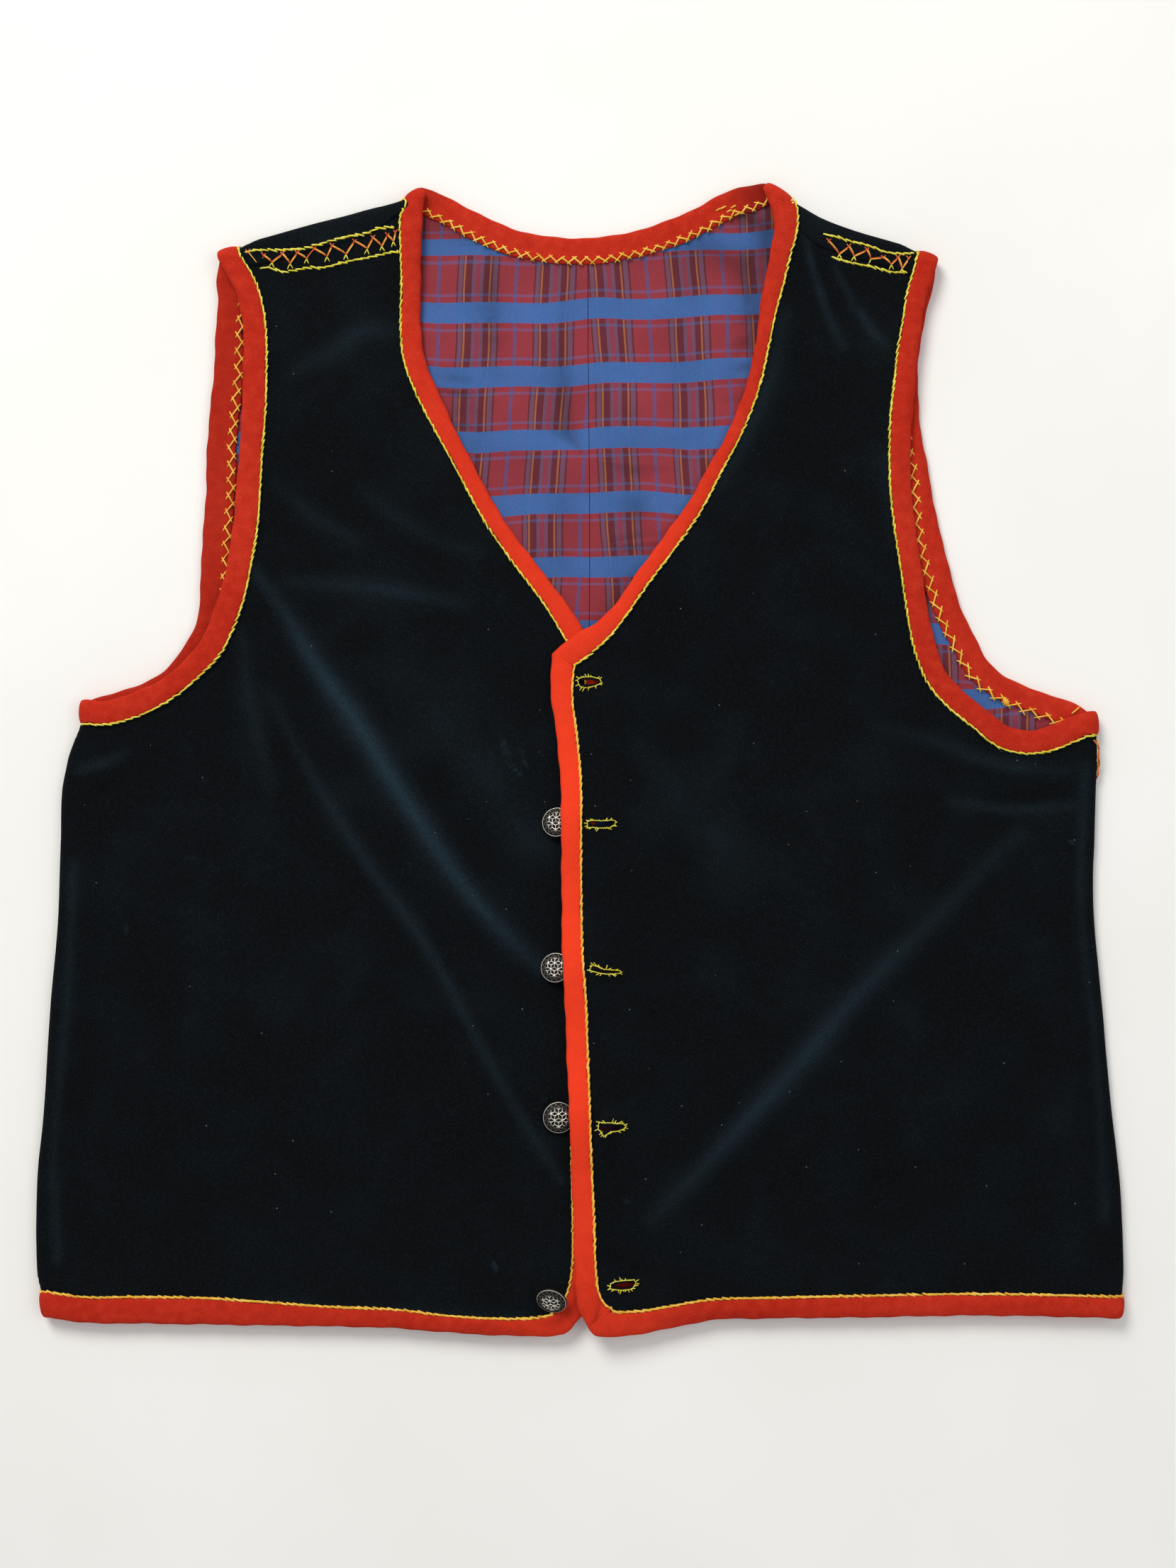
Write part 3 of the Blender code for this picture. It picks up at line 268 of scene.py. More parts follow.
# %% [markdown]
# ## Velvet
#
# The fronts and the back are navy cotton velvet, so dark that it looks black. Its short pile swallows
# light, except where it lies over or is bent along a fold: there it shows as a blue-grey streak. A sheen
# layer gives the pale edge of the pile. The streaks are painted into the colour where a vertex value says:
# they are partly nap brushed pale and partly a painted sheen highlight along the folds and rims. The
# pile's own tufts are about 0.3 mm apart, too fine to show, so they are drawn at 0.8 mm. A few pale specks
# of lint lie on it, about a centimetre apart.

# %% Velvet material
PILE_MM = 0.8
LINT_MM = 9.0
CRUSH_PER_M = 22.0
STREAK_GAIN = 1.8
LINT_FROM, LINT_STRENGTH = 0.62, 0.4


def make_velvet():
    velvet = new_material("navy cotton velvet")
    place = add(velvet, "TexCoord").outputs["Object"]
    nap_and_sheen = add(velvet, "Attribute", attribute_name="nap_and_sheen").outputs["Fac"]
    pile = add(
        velvet, "TexNoise", {"Vector": place, "Scale": 1 / (PILE_MM * MM), "Detail": 3.0, "Roughness": 0.7},
    )
    crush = add(
        velvet, "TexNoise",
        {"Vector": place, "Scale": CRUSH_PER_M, "Detail": 5.0, "Roughness": 0.62, "Distortion": 0.6},
    )
    ground = add(
        velvet, "ValToRGB", {"Fac": crush.outputs["Fac"]},
        stops=[(0.3, "#060709"), (0.5, "#07090c"), (0.66, "#0a0d10"), (0.8, "#0e1317")],
    )
    tufts = add(
        velvet, "Mix", {"Factor": 0.6, 6: ground.outputs["Color"], 7: pile.outputs["Color"]},
        data_type="RGBA", blend_type="OVERLAY",
    )
    # Brushed nap and painted sheen highlight: the colour turns a paler blue-grey where the vertex value says.
    streak = add(velvet, "Math", {0: nap_and_sheen, 1: pile.outputs["Fac"]}, operation="MULTIPLY")
    streak = add(velvet, "Math", {0: streak.outputs[0], 1: STREAK_GAIN}, operation="MULTIPLY", use_clamp=True)
    pale_nap_and_sheen = add(
        velvet, "Mix", {"Factor": streak.outputs[0], 6: tufts.outputs[2], 7: colour("#1f2f38")},
        data_type="RGBA",
    )
    tips = add(velvet, "ValToRGB", {"Fac": pile.outputs["Fac"]}, stops=[(0.5, 0.0), (0.72, 0.2)])
    pale_nap_and_sheen = add(
        velvet, "Mix", {"Factor": tips.outputs["Color"], 6: pale_nap_and_sheen.outputs[2], 7: colour("#2b3a42")},
        data_type="RGBA",
    )
    specks = add(velvet, "TexVoronoi", {"Vector": place, "Scale": 1 / (LINT_MM * MM)}, distance="EUCLIDEAN")
    lint = add(
        velvet, "ValToRGB", {"Fac": specks.outputs["Distance"]},
        stops=[(0.0, 1.0), (0.035, 0.8), (0.05, 0.0)],
    )
    rare = add(velvet, "SeparateColor", {"Color": specks.outputs["Color"]})
    rare = add(velvet, "Math", {0: rare.outputs[0], 1: LINT_FROM}, operation="GREATER_THAN")
    lint = add(velvet, "Math", {0: lint.outputs["Color"], 1: rare.outputs[0]}, operation="MULTIPLY")
    lint = add(velvet, "Math", {0: lint.outputs[0], 1: LINT_STRENGTH}, operation="MULTIPLY")
    surface = add(
        velvet, "Mix", {"Factor": lint.outputs[0], 6: pale_nap_and_sheen.outputs[2], 7: colour("#8b8d8a")},
        data_type="RGBA",
    )
    bump = add(velvet, "Bump", {"Height": pile.outputs["Fac"], "Strength": 0.35, "Distance": 0.0006})
    shader = add(
        velvet, "BsdfPrincipled",
        {
            "Base Color": surface.outputs[2], "Roughness": 0.92, "Specular IOR Level": 0.07,
            "Sheen Weight": 0.05, "Sheen Roughness": 0.3, "Sheen Tint": colour("#7fa3b0"),
            "Normal": bump.outputs["Normal"],
        },
    )
    return finish_material(velvet, shader)


VELVET = make_velvet()
print("pile drawn at", PILE_MM, "mm")

# %% [markdown]
# ## Red wool flannel
#
# The binding is a strip of fulled wool: woven, then felted until the weave hardly shows. It looks matt
# and slightly fuzzy, with soft lumps a few millimetres across. Two noises make the lumps and the fibres,
# and a little sheen gives the fuzz. Painted light makes the wool brighter down the centre front, down the
# V and along the middle of the hem. Painted shade makes the back's strip darker where the front's strip
# covers most of it, at the corners of the neck and in the right armhole, and a few creased corners are
# darkened by grime and painted shade. Two vertex values say where.

# %% Wool material
FELT_LUMP_MM = 5.0
FELT_FIBRE_MM = 0.7
SUNNED_PER_M = 14.0


def make_flannel():
    wool = new_material("red wool flannel")
    place = add(wool, "TexCoord").outputs["Object"]
    lumps = add(wool, "TexNoise", {"Vector": place, "Scale": 1 / (FELT_LUMP_MM * MM), "Detail": 4.0})
    fibres = add(
        wool, "TexNoise",
        {"Vector": place, "Scale": 1 / (FELT_FIBRE_MM * MM), "Detail": 5.0, "Roughness": 0.75},
    )
    patches = add(wool, "TexNoise", {"Vector": place, "Scale": SUNNED_PER_M, "Detail": 2.0})
    red = add(
        wool, "ValToRGB", {"Fac": lumps.outputs["Fac"]},
        stops=[(0.3, "#a81f10"), (0.52, "#bd2a18"), (0.7, "#c93722")],
    )
    sunned = add(
        wool, "ValToRGB", {"Fac": patches.outputs["Fac"]}, stops=[(0.35, "#b32715"), (0.65, "#c5331f")],
    )
    red = add(
        wool, "Mix", {"Factor": 0.5, 6: red.outputs["Color"], 7: sunned.outputs["Color"]}, data_type="RGBA",
    )
    # Painted light brightens the red by the first value; painted shade and grime darken it by the second.
    for value, shifted_tone in (("lit_brighter", "#f24022"), ("grime_and_shade", "#6e130c")):
        share = add(wool, "Attribute", attribute_name=value).outputs["Fac"]
        red = add(wool, "Mix", {"Factor": share, 6: red.outputs[2], 7: colour(shifted_tone)}, data_type="RGBA")
    fuzz = add(wool, "ValToRGB", {"Fac": fibres.outputs["Fac"]}, stops=[(0.33, 0.3), (0.62, 0.6)])
    red = add(
        wool, "Mix", {"Factor": 0.6, 6: red.outputs[2], 7: fuzz.outputs["Color"]},
        data_type="RGBA", blend_type="OVERLAY",
    )
    height = add(wool, "Math", {0: lumps.outputs["Fac"], 1: fibres.outputs["Fac"]}, operation="ADD")
    bump = add(wool, "Bump", {"Height": height.outputs[0], "Strength": 0.5, "Distance": 0.0006})
    shader = add(
        wool, "BsdfPrincipled",
        {
            "Base Color": red.outputs[2], "Roughness": 0.95, "Specular IOR Level": 0.1,
            "Sheen Weight": 0.1, "Sheen Roughness": 0.5, "Sheen Tint": colour("#ff7a58"),
            "Normal": bump.outputs["Normal"],
        },
    )
    return finish_material(wool, shader)


FLANNEL = make_flannel()
print("felt lumps", FELT_LUMP_MM, "mm, fibres drawn at", FELT_FIBRE_MM, "mm")

# %% [markdown]
# ## Cotton thread
#
# All the hand stitching is in soft cotton: a golden yellow, a greener lemon and some orange in the
# zigzags. It is a matt thread of two plies. The turns of the ply are under a millimetre long, so a fine
# noise along the thread is enough.

# %% Thread materials
DYE_PER_M, PLY_PER_M = 260.0, 2200.0


def make_thread(name, dark, middle, pale):
    thread = new_material(name)
    place = add(thread, "TexCoord").outputs["Object"]
    tone = add(thread, "TexNoise", {"Vector": place, "Scale": DYE_PER_M, "Detail": 3.0})
    fibres = add(thread, "TexNoise", {"Vector": place, "Scale": PLY_PER_M, "Detail": 2.0})
    dye = add(
        thread, "ValToRGB", {"Fac": tone.outputs["Fac"]}, stops=[(0.3, dark), (0.5, middle), (0.72, pale)],
    )
    bump = add(thread, "Bump", {"Height": fibres.outputs["Fac"], "Strength": 0.4, "Distance": 0.0003})
    shader = add(
        thread, "BsdfPrincipled",
        {
            "Base Color": dye.outputs["Color"], "Roughness": 0.75, "Specular IOR Level": 0.25,
            "Sheen Weight": 0.1, "Normal": bump.outputs["Normal"],
        },
    )
    return finish_material(thread, shader)


YELLOW = make_thread("golden cotton thread", "#d69b26", "#efba40", "#f6cd62")
LEMON = make_thread("lemon cotton thread", "#c2b12e", "#e0d444", "#ebe56a")
ORANGE = make_thread("orange cotton thread", "#b04018", "#d1602e", "#e28a4c")
print("threads:", YELLOW.name, LEMON.name, ORANGE.name)

# %% [markdown]
# ## Plaid lining
#
# The lining is a light cotton woven in a plaid. Its colour at a point comes from two stripes: the warp,
# which runs up the back, and the weft, which runs across it. So each gets a ramp of its own, with hard
# steps at the real widths of the stripes, and the weft's broad blue stripe covers the warp almost
# completely. The repeat is about 39 mm across and 33 mm down.

# %% Plaid material
WARP_REPEAT_MM = 39.2
WEFT_REPEAT_MM = 32.7
WEAR_PER_M, YARNS_PER_M = 30.0, 1400.0
SHADE_STRENGTH = 0.55


def make_plaid():
    plaid = new_material("plaid cotton lining")
    weave = add(plaid, "Attribute", attribute_name="weave").outputs["Vector"]
    cloth = add(plaid, "SeparateXYZ", {"Vector": weave})
    places = []
    for axis, repeat in (("X", WARP_REPEAT_MM), ("Y", WEFT_REPEAT_MM)):
        repeats = add(plaid, "Math", {0: cloth.outputs[axis], 1: 1 / repeat}, operation="MULTIPLY")
        places.append(add(plaid, "Math", {0: repeats.outputs[0]}, operation="FRACT").outputs[0])
    across, down = places
    warp = add(
        plaid, "ValToRGB", {"Fac": across},
        stops=[
            (0.0, "#9c5f38"), (0.022, "#55212e"), (0.108, "#64475e"), (0.153, "#853347"),
            (0.208, "#64475e"), (0.257, "#55212e"), (0.331, "#9c5f38"), (0.353, "#55212e"),
            (0.375, "#64475e"), (0.435, "#55212e"), (0.46, "#8c303a"), (0.655, "#5d4774"),
            (0.70, "#8c303a"), (0.911, "#55212e"), (0.933, "#64475e"), (0.985, "#55212e"),
        ],
    )
    weft = add(
        plaid, "ValToRGB", {"Fac": down},
        stops=[
            (0.0, "#3a639f"), (0.321, "#96283c"), (0.335, "#8e2e3a"), (0.405, "#4f5f92"),
            (0.447, "#8c303a"), (0.866, "#4f5f92"), (0.908, "#8e2e3a"),
        ],
    )
    cover = add(
        plaid, "ValToRGB", {"Fac": down},
        stops=[
            (0.0, 0.96), (0.321, 0.7), (0.335, 0.22), (0.405, 0.38), (0.447, 0.15), (0.866, 0.38),
            (0.908, 0.22),
        ],
    )
    for ramp in (warp, weft, cover):
        ramp.color_ramp.interpolation = "CONSTANT"
    stripes = add(
        plaid, "Mix", {"Factor": cover.outputs["Color"], 6: warp.outputs["Color"], 7: weft.outputs["Color"]},
        data_type="RGBA",
    )
    place = add(plaid, "TexCoord").outputs["Object"]
    wear = add(plaid, "TexNoise", {"Vector": place, "Scale": WEAR_PER_M, "Detail": 4.0})
    yarns = add(plaid, "TexNoise", {"Vector": place, "Scale": YARNS_PER_M, "Detail": 2.0})
    faded = add(plaid, "ValToRGB", {"Fac": wear.outputs["Fac"]}, stops=[(0.3, 0.42), (0.7, 0.56)])
    yarn = add(plaid, "ValToRGB", {"Fac": yarns.outputs["Fac"]}, stops=[(0.3, 0.4), (0.7, 0.6)])
    for strength, tone in ((0.8, faded), (0.5, yarn)):
        stripes = add(
            plaid, "Mix", {"Factor": strength, 6: stripes.outputs[2], 7: tone.outputs["Color"]},
            data_type="RGBA", blend_type="OVERLAY",
        )
    # Painted shade: the vertex value called shade darkens the plaid in the valleys of the folds and the
    # corners of the neck.
    shade = add(plaid, "Attribute", attribute_name="shade").outputs["Fac"]
    shade = add(plaid, "Math", {0: shade, 1: SHADE_STRENGTH}, operation="MULTIPLY")
    stripes = add(
        plaid, "Mix", {"Factor": shade.outputs[0], 6: stripes.outputs[2], 7: colour("#0e0a10")},
        data_type="RGBA",
    )
    bump = add(plaid, "Bump", {"Height": yarns.outputs["Fac"], "Strength": 0.25, "Distance": 0.0003})
    shader = add(
        plaid, "BsdfPrincipled",
        {
            "Base Color": stripes.outputs[2], "Roughness": 0.85, "Specular IOR Level": 0.25,
            "Normal": bump.outputs["Normal"],
        },
    )
    return finish_material(plaid, shader)


PLAID = make_plaid()
print("plaid repeat:", WARP_REPEAT_MM, "x", WEFT_REPEAT_MM, "mm")

# %% [markdown]
# ## Pewter
#
# The buttons are cast pewter. The metal is grey and softly bright where hands have rubbed it, and nearly
# black in the hollows of its ornament. The hollows are known when the relief is made, so each vertex
# carries a value called hollow, and the material darkens and dulls the metal by it.

# %% Pewter material
CAST_GRAIN_PER_M = 1500.0


def make_pewter():
    pewter = new_material("cast pewter")
    hollow = add(pewter, "Attribute", attribute_name="hollow").outputs["Fac"]
    place = add(pewter, "TexCoord").outputs["Object"]
    grain = add(pewter, "TexNoise", {"Vector": place, "Scale": CAST_GRAIN_PER_M, "Detail": 4.0})
    tone = add(
        pewter, "ValToRGB", {"Fac": hollow},
        stops=[(0.0, "#fffcf2"), (0.3, "#cdc6b8"), (0.55, "#544f46"), (0.8, "#0f0e0c")],
    )
    rough = add(pewter, "ValToRGB", {"Fac": hollow}, stops=[(0.0, 0.3), (0.8, 0.7)])
    bump = add(pewter, "Bump", {"Height": grain.outputs["Fac"], "Strength": 0.2, "Distance": 0.0002})
    shader = add(
        pewter, "BsdfPrincipled",
        {
            "Base Color": tone.outputs["Color"], "Metallic": 0.6, "Roughness": rough.outputs["Color"],
            "Normal": bump.outputs["Normal"],
        },
    )
    return finish_material(pewter, shader)


PEWTER = make_pewter()
print("metal:", PEWTER.name)

# %% [markdown]
# ## Curves and folds
#
# The strips must follow the same smooth lines as the plain model, only with many more steps. These
# helpers draw a smooth curve through the rows of a table, find the direction into the cloth, and give the
# frame of a strip at each step: its outer edge, the direction across it and the direction out of the
# cloth that it holds.

# %% Curve helpers
Station = namedtuple("Station", "edge across out width half")
BACK_HALF, FRONT_HALF = 2.45, 2.2
FOLD_CORE = 0.4
FOLD_AXIS = 2 * BACK_HALF + FOLD_CORE
FOLD_FRONT = FOLD_AXIS + FOLD_CORE + FRONT_HALF
VELVET_FOLD = 3.75
BACK_STRIP, NECK_STRIP = 11.7, 13.6
STRIP_STEP = 2.4


def unit(vector):
    return np.asarray(vector, float) / np.linalg.norm(vector)


def smooth_curve(rows, step):
    """Points and directions of a smooth curve through the rows."""
    rows = np.array(rows, float)
    gaps = np.linalg.norm(np.diff(rows[:, :2], axis=0), axis=1)
    slopes = np.diff(rows, axis=0) / gaps[:, None]
    tangents = np.vstack([slopes[:1], slopes])
    for i in range(1, len(rows) - 1):
        tangents[i] = (slopes[i - 1] * gaps[i] + slopes[i] * gaps[i - 1]) / (gaps[i - 1] + gaps[i])
    points = []
    for i, gap in enumerate(gaps):
        count = max(1, round(gap / step))
        for t in np.arange(count + (i == len(gaps) - 1)) / count:
            start, end = tangents[i] * gap, tangents[i + 1] * gap
            points.append(
                rows[i] * (2 * t**3 - 3 * t**2 + 1) + start * (t**3 - 2 * t**2 + t)
                + rows[i + 1] * (3 * t**2 - 2 * t**3) + end * (t**3 - t**2)
            )
    points = np.array(points)
    return points, [unit(d) for d in np.gradient(points[:, :2], axis=0)]


def lengths_of(points):
    """How far along the line each of its points lies."""
    return np.concatenate([[0], np.cumsum(np.linalg.norm(np.diff(points, axis=0), axis=1))])


def eased(points, directions, reach):
    """Directions averaged along the curve, so that a strip turns a corner without crossing itself."""
    lengths = lengths_of(points[:, :2])
    spans = np.gradient(lengths)
    near = np.clip(reach - abs(lengths[:, None] - lengths[None]), 0, None) * spans[None]
    return [unit(v) for v in near @ np.array(directions)]


def beside(direction, towards):
    return np.array([-direction[1], direction[0]]) * towards


def square_to(direction, outward):
    normal = beside(direction, 1)
    return normal if normal @ np.array(outward) > 0 else -normal


def fold_end(rows, outward, end):
    """Axis, outward direction and direction into the cloth at one end of a fold."""
    rows = np.array(rows, float)
    edge, other = (rows[0], rows[1]) if end == 0 else (rows[-1], rows[-2])
    across = unit(other - edge)
    out = square_to(across, outward)
    return edge - out * VELVET_FOLD, out, across


def smoothstep(value):
    value = np.clip(value, 0.0, 1.0)
    return value * value * (3 - 2 * value)


def mix(a, b, share):
    return a + (b - a) * share


print("fold axis", FOLD_AXIS, "mm up, front strip's middle", FOLD_FRONT, "mm up")

# %% [markdown]
# ## The lines of each strip
#
# There are five kinds of strip: down the V, down the centre and along the hem in front, round the front
# and the back of each armhole, along the back of the neck and along the back of the hem. At a side or a
# shoulder a strip turns round the fold of the cloth, so a half circle of steps joins its front to its
# back. The left front rides up over three buttons, and its centre strip is lifted there.

# %% Strip lines
TURN_ANGLES = range(90, -91, -15)
CORNER_REACH, FRONT_REACH, BACK_REACH = 18.0, 8.0, 6.0
END_REACH = 13.0
TURN_SPREAD = 1.3
BUTTON_LIFT, LIFT_REACH = 3.4, 34.0
LAP_CORNER_X = 8
NECK_FOLD_WIDTH = {"right": 10.3, "left": 15.5}
OUTWARD = {"right": (-1, 0), "left": (1, 0)}
UP = np.array([0, 0, 1.0])


def blended(points, across, start, end):
    """The directions across a strip, turned to meet a fold or a mitre at either end."""
    lengths = lengths_of(points[:, :2])
    for i, direction in enumerate(across):
        for goal, away in ((start, lengths[i]), (end, lengths[-1] - lengths[i])):
            direction = mix(goal, direction, float(smoothstep(away / END_REACH)))
        across[i] = direction
    return across


def front_line(rows, towards, start, end, reach=FRONT_REACH):
    points, directions = smooth_curve(rows, STRIP_STEP)
    across = blended(points, [beside(d, towards) for d in eased(points, directions, reach)], start, end)
    return [Station(p[:3].copy(), np.array([*a, 0]), UP, p[3], FRONT_HALF) for p, a in zip(points, across)]


def from_above(rows):
    """True places of the back's edges, which lie lower than the front and so look nearer the middle."""
    scale = (CAMERA_HEIGHT / MM - BACK_HALF) / (CAMERA_HEIGHT / MM - FRONTS_HEIGHT_MM)
    return [(mix(view_x, x, scale), mix(view_y, y, scale)) for x, y in rows]


def back_line(rows, towards, start, end, wide=lambda y: BACK_STRIP):
    points, directions = smooth_curve(rows, STRIP_STEP)
    turned = [beside(d, towards) for d in eased(points, directions, BACK_REACH)]
    across = blended(points, turned, start, end)
    return [
        Station(np.array([*p[:2], BACK_HALF]), np.array([*a, 0]), -UP, wide(p[1]), BACK_HALF)
        for p, a in zip(points, across)
    ]


def from_table(rows):
    """A function that reads a value off a table by y."""
    return lambda y: float(np.interp(y, *zip(*rows)))


ARMHOLE_STRIP = {
    "right": from_table(((330, 11.7), (350, 12.5), (390, 15.0), (500, 15.5), (530, 11.7))),
    "left": from_table(((325, 11.7), (345, 12.5), (385, 14.5), (510, 14.5), (530, 11.7))),
}


def turn(end, width, lowest=-90):
    """Steps of a strip round a fold, from the front to the back."""
    axis, out, across = end
    steps = []
    for angle in (a for a in TURN_ANGLES if a >= lowest):
        share, a = (angle + 90) / 180, math.radians(angle)
        half = mix(BACK_HALF, FRONT_HALF, share)
        normal = np.array([*(out * math.cos(a)), math.sin(a)])
        edge = np.array([*axis, FOLD_AXIS]) + normal * (FOLD_CORE + half)
        wide = mix(BACK_STRIP, width, float(smoothstep(share * TURN_SPREAD)))
        steps.append(Station(edge, np.array([*across, 0]), normal, wide, half))
    return steps


def lifted(station):
    """A station of the left front's edge, raised if a button lies under it."""
    x, y = station.edge[:2]
    if x > LAP_CORNER_X or y > max(LAPPED_BUTTONS_Y) + LIFT_REACH:
        return station
    away = min(abs(y - button) for button in LAPPED_BUTTONS_Y) / LIFT_REACH
    lift = BUTTON_LIFT * math.cos(min(away, 1) * math.pi / 2) ** 2
    return station._replace(edge=station.edge + UP * lift)


def mitred(first, second):
    return (first + second) / (1 + first @ second)


lines = {}
for side, towards in (("right", -1), ("left", 1)):
    neck_end = fold_end(SHOULDER_FOLD[side], (0, 1), 1)
    hem_end = fold_end(SIDE_FOLD[side], OUTWARD[side], 1)
    shoulder_end = fold_end(SHOULDER_FOLD[side], (0, 1), 0)
    under_end = fold_end(SIDE_FOLD[side], OUTWARD[side], 0)
    v_rows = [(*neck_end[0], FOLD_FRONT, V_EDGE[side][0][3]), *V_EDGE[side]]
    edge_rows = [*FRONT_EDGE[side], (*hem_end[0], FOLD_FRONT, FRONT_EDGE[side][-1][3])]
    last = unit(np.subtract(v_rows[-1][:2], v_rows[-2][:2]))
    first = unit(np.subtract(edge_rows[1][:2], edge_rows[0][:2]))
    corner = mitred(beside(last, towards), beside(first, towards))
    v_rows[0] = (*v_rows[0][:3], NECK_FOLD_WIDTH[side])
    v_line = front_line(v_rows, towards, neck_end[2], corner)
    edge_line = front_line(edge_rows, towards, corner, hem_end[2], CORNER_REACH)
    if side == "left":
        edge_line = [lifted(station) for station in edge_line]
    places = np.array([station.edge[:2] for station in edge_line])
    hem_corner = int(np.argmin(np.linalg.norm(places - np.array(HEM_CORNER[side]), axis=1)))
    shoulder_width, under_width = ARMHOLE_FRONT[side][0][3], ARMHOLE_FRONT[side][-1][3]
    arm_rows = [
        (*shoulder_end[0], FOLD_FRONT, shoulder_width),
        *ARMHOLE_FRONT[side],
        (*under_end[0], FOLD_FRONT, under_width),
    ]
    arm_front = front_line(arm_rows, -towards, shoulder_end[2], under_end[2])
    arm_rows = [tuple(shoulder_end[0]), *from_above(ARMHOLE_BACK[side]), tuple(under_end[0])]
    arm_back = back_line(arm_rows, -towards, shoulder_end[2], under_end[2], ARMHOLE_STRIP[side])
    lines[side] = {
        "v": v_line, "centre": edge_line[: hem_corner + 1], "hem": edge_line[hem_corner:],
        "arm_front": arm_front, "arm_back": arm_back, "neck_end": neck_end, "hem_end": hem_end,
        "neck_turn": turn(neck_end, NECK_FOLD_WIDTH[side], -45), "hem_turn": turn(hem_end, edge_rows[-1][3]),
        "shoulder_turn": turn(shoulder_end, shoulder_width), "under_turn": turn(under_end, under_width),
    }
right, left = lines["right"], lines["left"]
back_neck = back_line(
    from_above(BACK_NECK), -1, right["neck_end"][2], left["neck_end"][2], lambda y: NECK_STRIP,
)
hem_rows = [tuple(right["hem_end"][0]), *BACK_HEM, tuple(left["hem_end"][0])]
back_hem = back_line(hem_rows, 1, right["hem_end"][2], left["hem_end"][2])
STRIPS = {
    "neck_binding": (
        right["v"][:0:-1] + right["neck_turn"] + back_neck + left["neck_turn"][::-1] + left["v"][1:]
    ),
    "hem_binding": (
        right["hem"][:-1] + right["hem_turn"] + back_hem[1:-1]
        + left["hem_turn"][::-1] + left["hem"][-2::-1]
    ),
    "front_binding_right": right["centre"],
    "front_binding_left": left["centre"],
}
for side in ("right", "left"):
    part = lines[side]
    STRIPS[f"armhole_binding_{side}"] = (
        part["arm_front"][1:-1] + part["under_turn"] + part["arm_back"][-2:0:-1] + part["shoulder_turn"][::-1]
    )
print({name: len(stations) for name, stations in STRIPS.items()})

# %% [markdown]
# ## Making meshes
#
# Many pieces are lists of points and faces that come out of a loop. One function turns them into an
# object, gives it its material and rides it on the model's body.

# %% Mesh helpers
made_pieces = {}


def new_piece(name, points, faces, material):
    """An object from drawing millimetres, shaded smooth and riding on the waistcoat."""
    mesh = bpy.data.meshes.new(name)
    mesh.from_pydata([tuple(p) for p in to_model(points)], [], faces)
    mesh.materials.append(material)
    return placed_piece(name, mesh)


def placed_piece(name, mesh, crisp=None):
    """An object from a finished mesh. Rims that turn by more than crisp, in degrees, are shaded sharp."""
    mesh.shade_smooth()
    if crisp:
        mesh.set_sharp_from_angle(angle=math.radians(crisp))
    piece = in_scene(name, mesh)
    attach(piece, "root")
    made_pieces[name] = piece
    return piece


def mark(mesh, name, values):
    """Stores one value for each vertex, for the material to read."""
    layer = mesh.attributes.new(name, "FLOAT", "POINT")
    layer.data.foreach_set("value", np.asarray(values, np.float32))


def flat_area(piece):
    """Area of a piece's faces in square metres."""
    return sum(face.area for face in piece.data.polygons)


def waves(lengths, spans, seed):
    """A smooth uneven line of about -1 to 1: a few sine waves with their phases drawn from the seed."""
    draw = random.Random(seed)
    parts = [np.sin(math.tau * lengths / span + draw.uniform(0, math.tau)) for span in spans]
    return sum(parts) / len(spans) ** 0.5


# %% [markdown]
# ## Binding strips
#
# Flannel is springy, so a folded strip doesn't lie flat: it is a soft roll, fullest near its outer edge
# and pulled down where the yellow stitches hold it. The section below is that roll, as shares of the
# strip's width and of its half height. Waves along the strip make it as uneven as handwork is.

# %% Sew on the bindings
ROLL = (
    (1.0, 0.45), (0.998, 0.68), (0.965, 0.86), (0.89, 0.98), (0.77, 1.05), (0.62, 1.08), (0.46, 1.07),
    (0.31, 1.0), (0.18, 0.88), (0.08, 0.7), (0.02, 0.45), (0.0, 0.15),
)
STITCH_MM = 4.6
PUFF_SPANS, STRAY_SPANS, SWELL_SPANS = (7.3, 11.9, 19.0), (14.0, 31.0), (21.0, 43.0)
PUFF_SHARE, STRAY_MM, SWELL_MM, GRIP_MM = 0.05, 0.22, 0.3, 0.3
RING_FADE_MM = 20


def by_the_neck(station):
    """Painted light, brighter and brighter from the shoulder down to the point of the V."""
    top = 570 if station.edge[0] < 0 else 510
    return 0.62 * float(smoothstep((top - station.edge[1]) / (top - 370))) if station.out[2] > 0.9 else 0.0


# Painted light down the centre front: its strength by height.
LIT_DOWN_THE_FRONT = (
    (17, 0.3), (31, 0.46), (55, 0.62), (85, 0.7), (121, 0.95), (139, 1.0), (297, 1.0), (341, 0.8),
)


def in_the_middle(station):
    """Painted light, brightest half way down the front."""
    return float(np.interp(station.edge[1], *zip(*LIT_DOWN_THE_FRONT)))


def by_the_hem(station):
    """A little painted light along the hem, close to the centre front."""
    return 0.35 * float(smoothstep((60 - abs(station.edge[0])) / 60)) if station.out[2] > 0.9 else 0.0


def in_the_corner(station):
    """Painted shade on the back's strip where the front's covers most of it: the right armhole and the neck.
    """
    if station.out[2] > -0.5 or station.edge[1] < 300 or station.edge[0] > 150:
        return 0.0
    if station.edge[0] < -150:
        return 0.3
    start, end, most = (-62, -80, 0.35) if station.edge[0] < 0 else (62, 92, 0.75)
    return most * float(smoothstep((station.edge[0] - start) / (end - start)))


# Painted light for each kind of strip.
PAINTED_LIGHT = {
    "neck": by_the_neck, "front": in_the_middle, "hem": by_the_hem, "armhole": lambda station: 0.0,
}


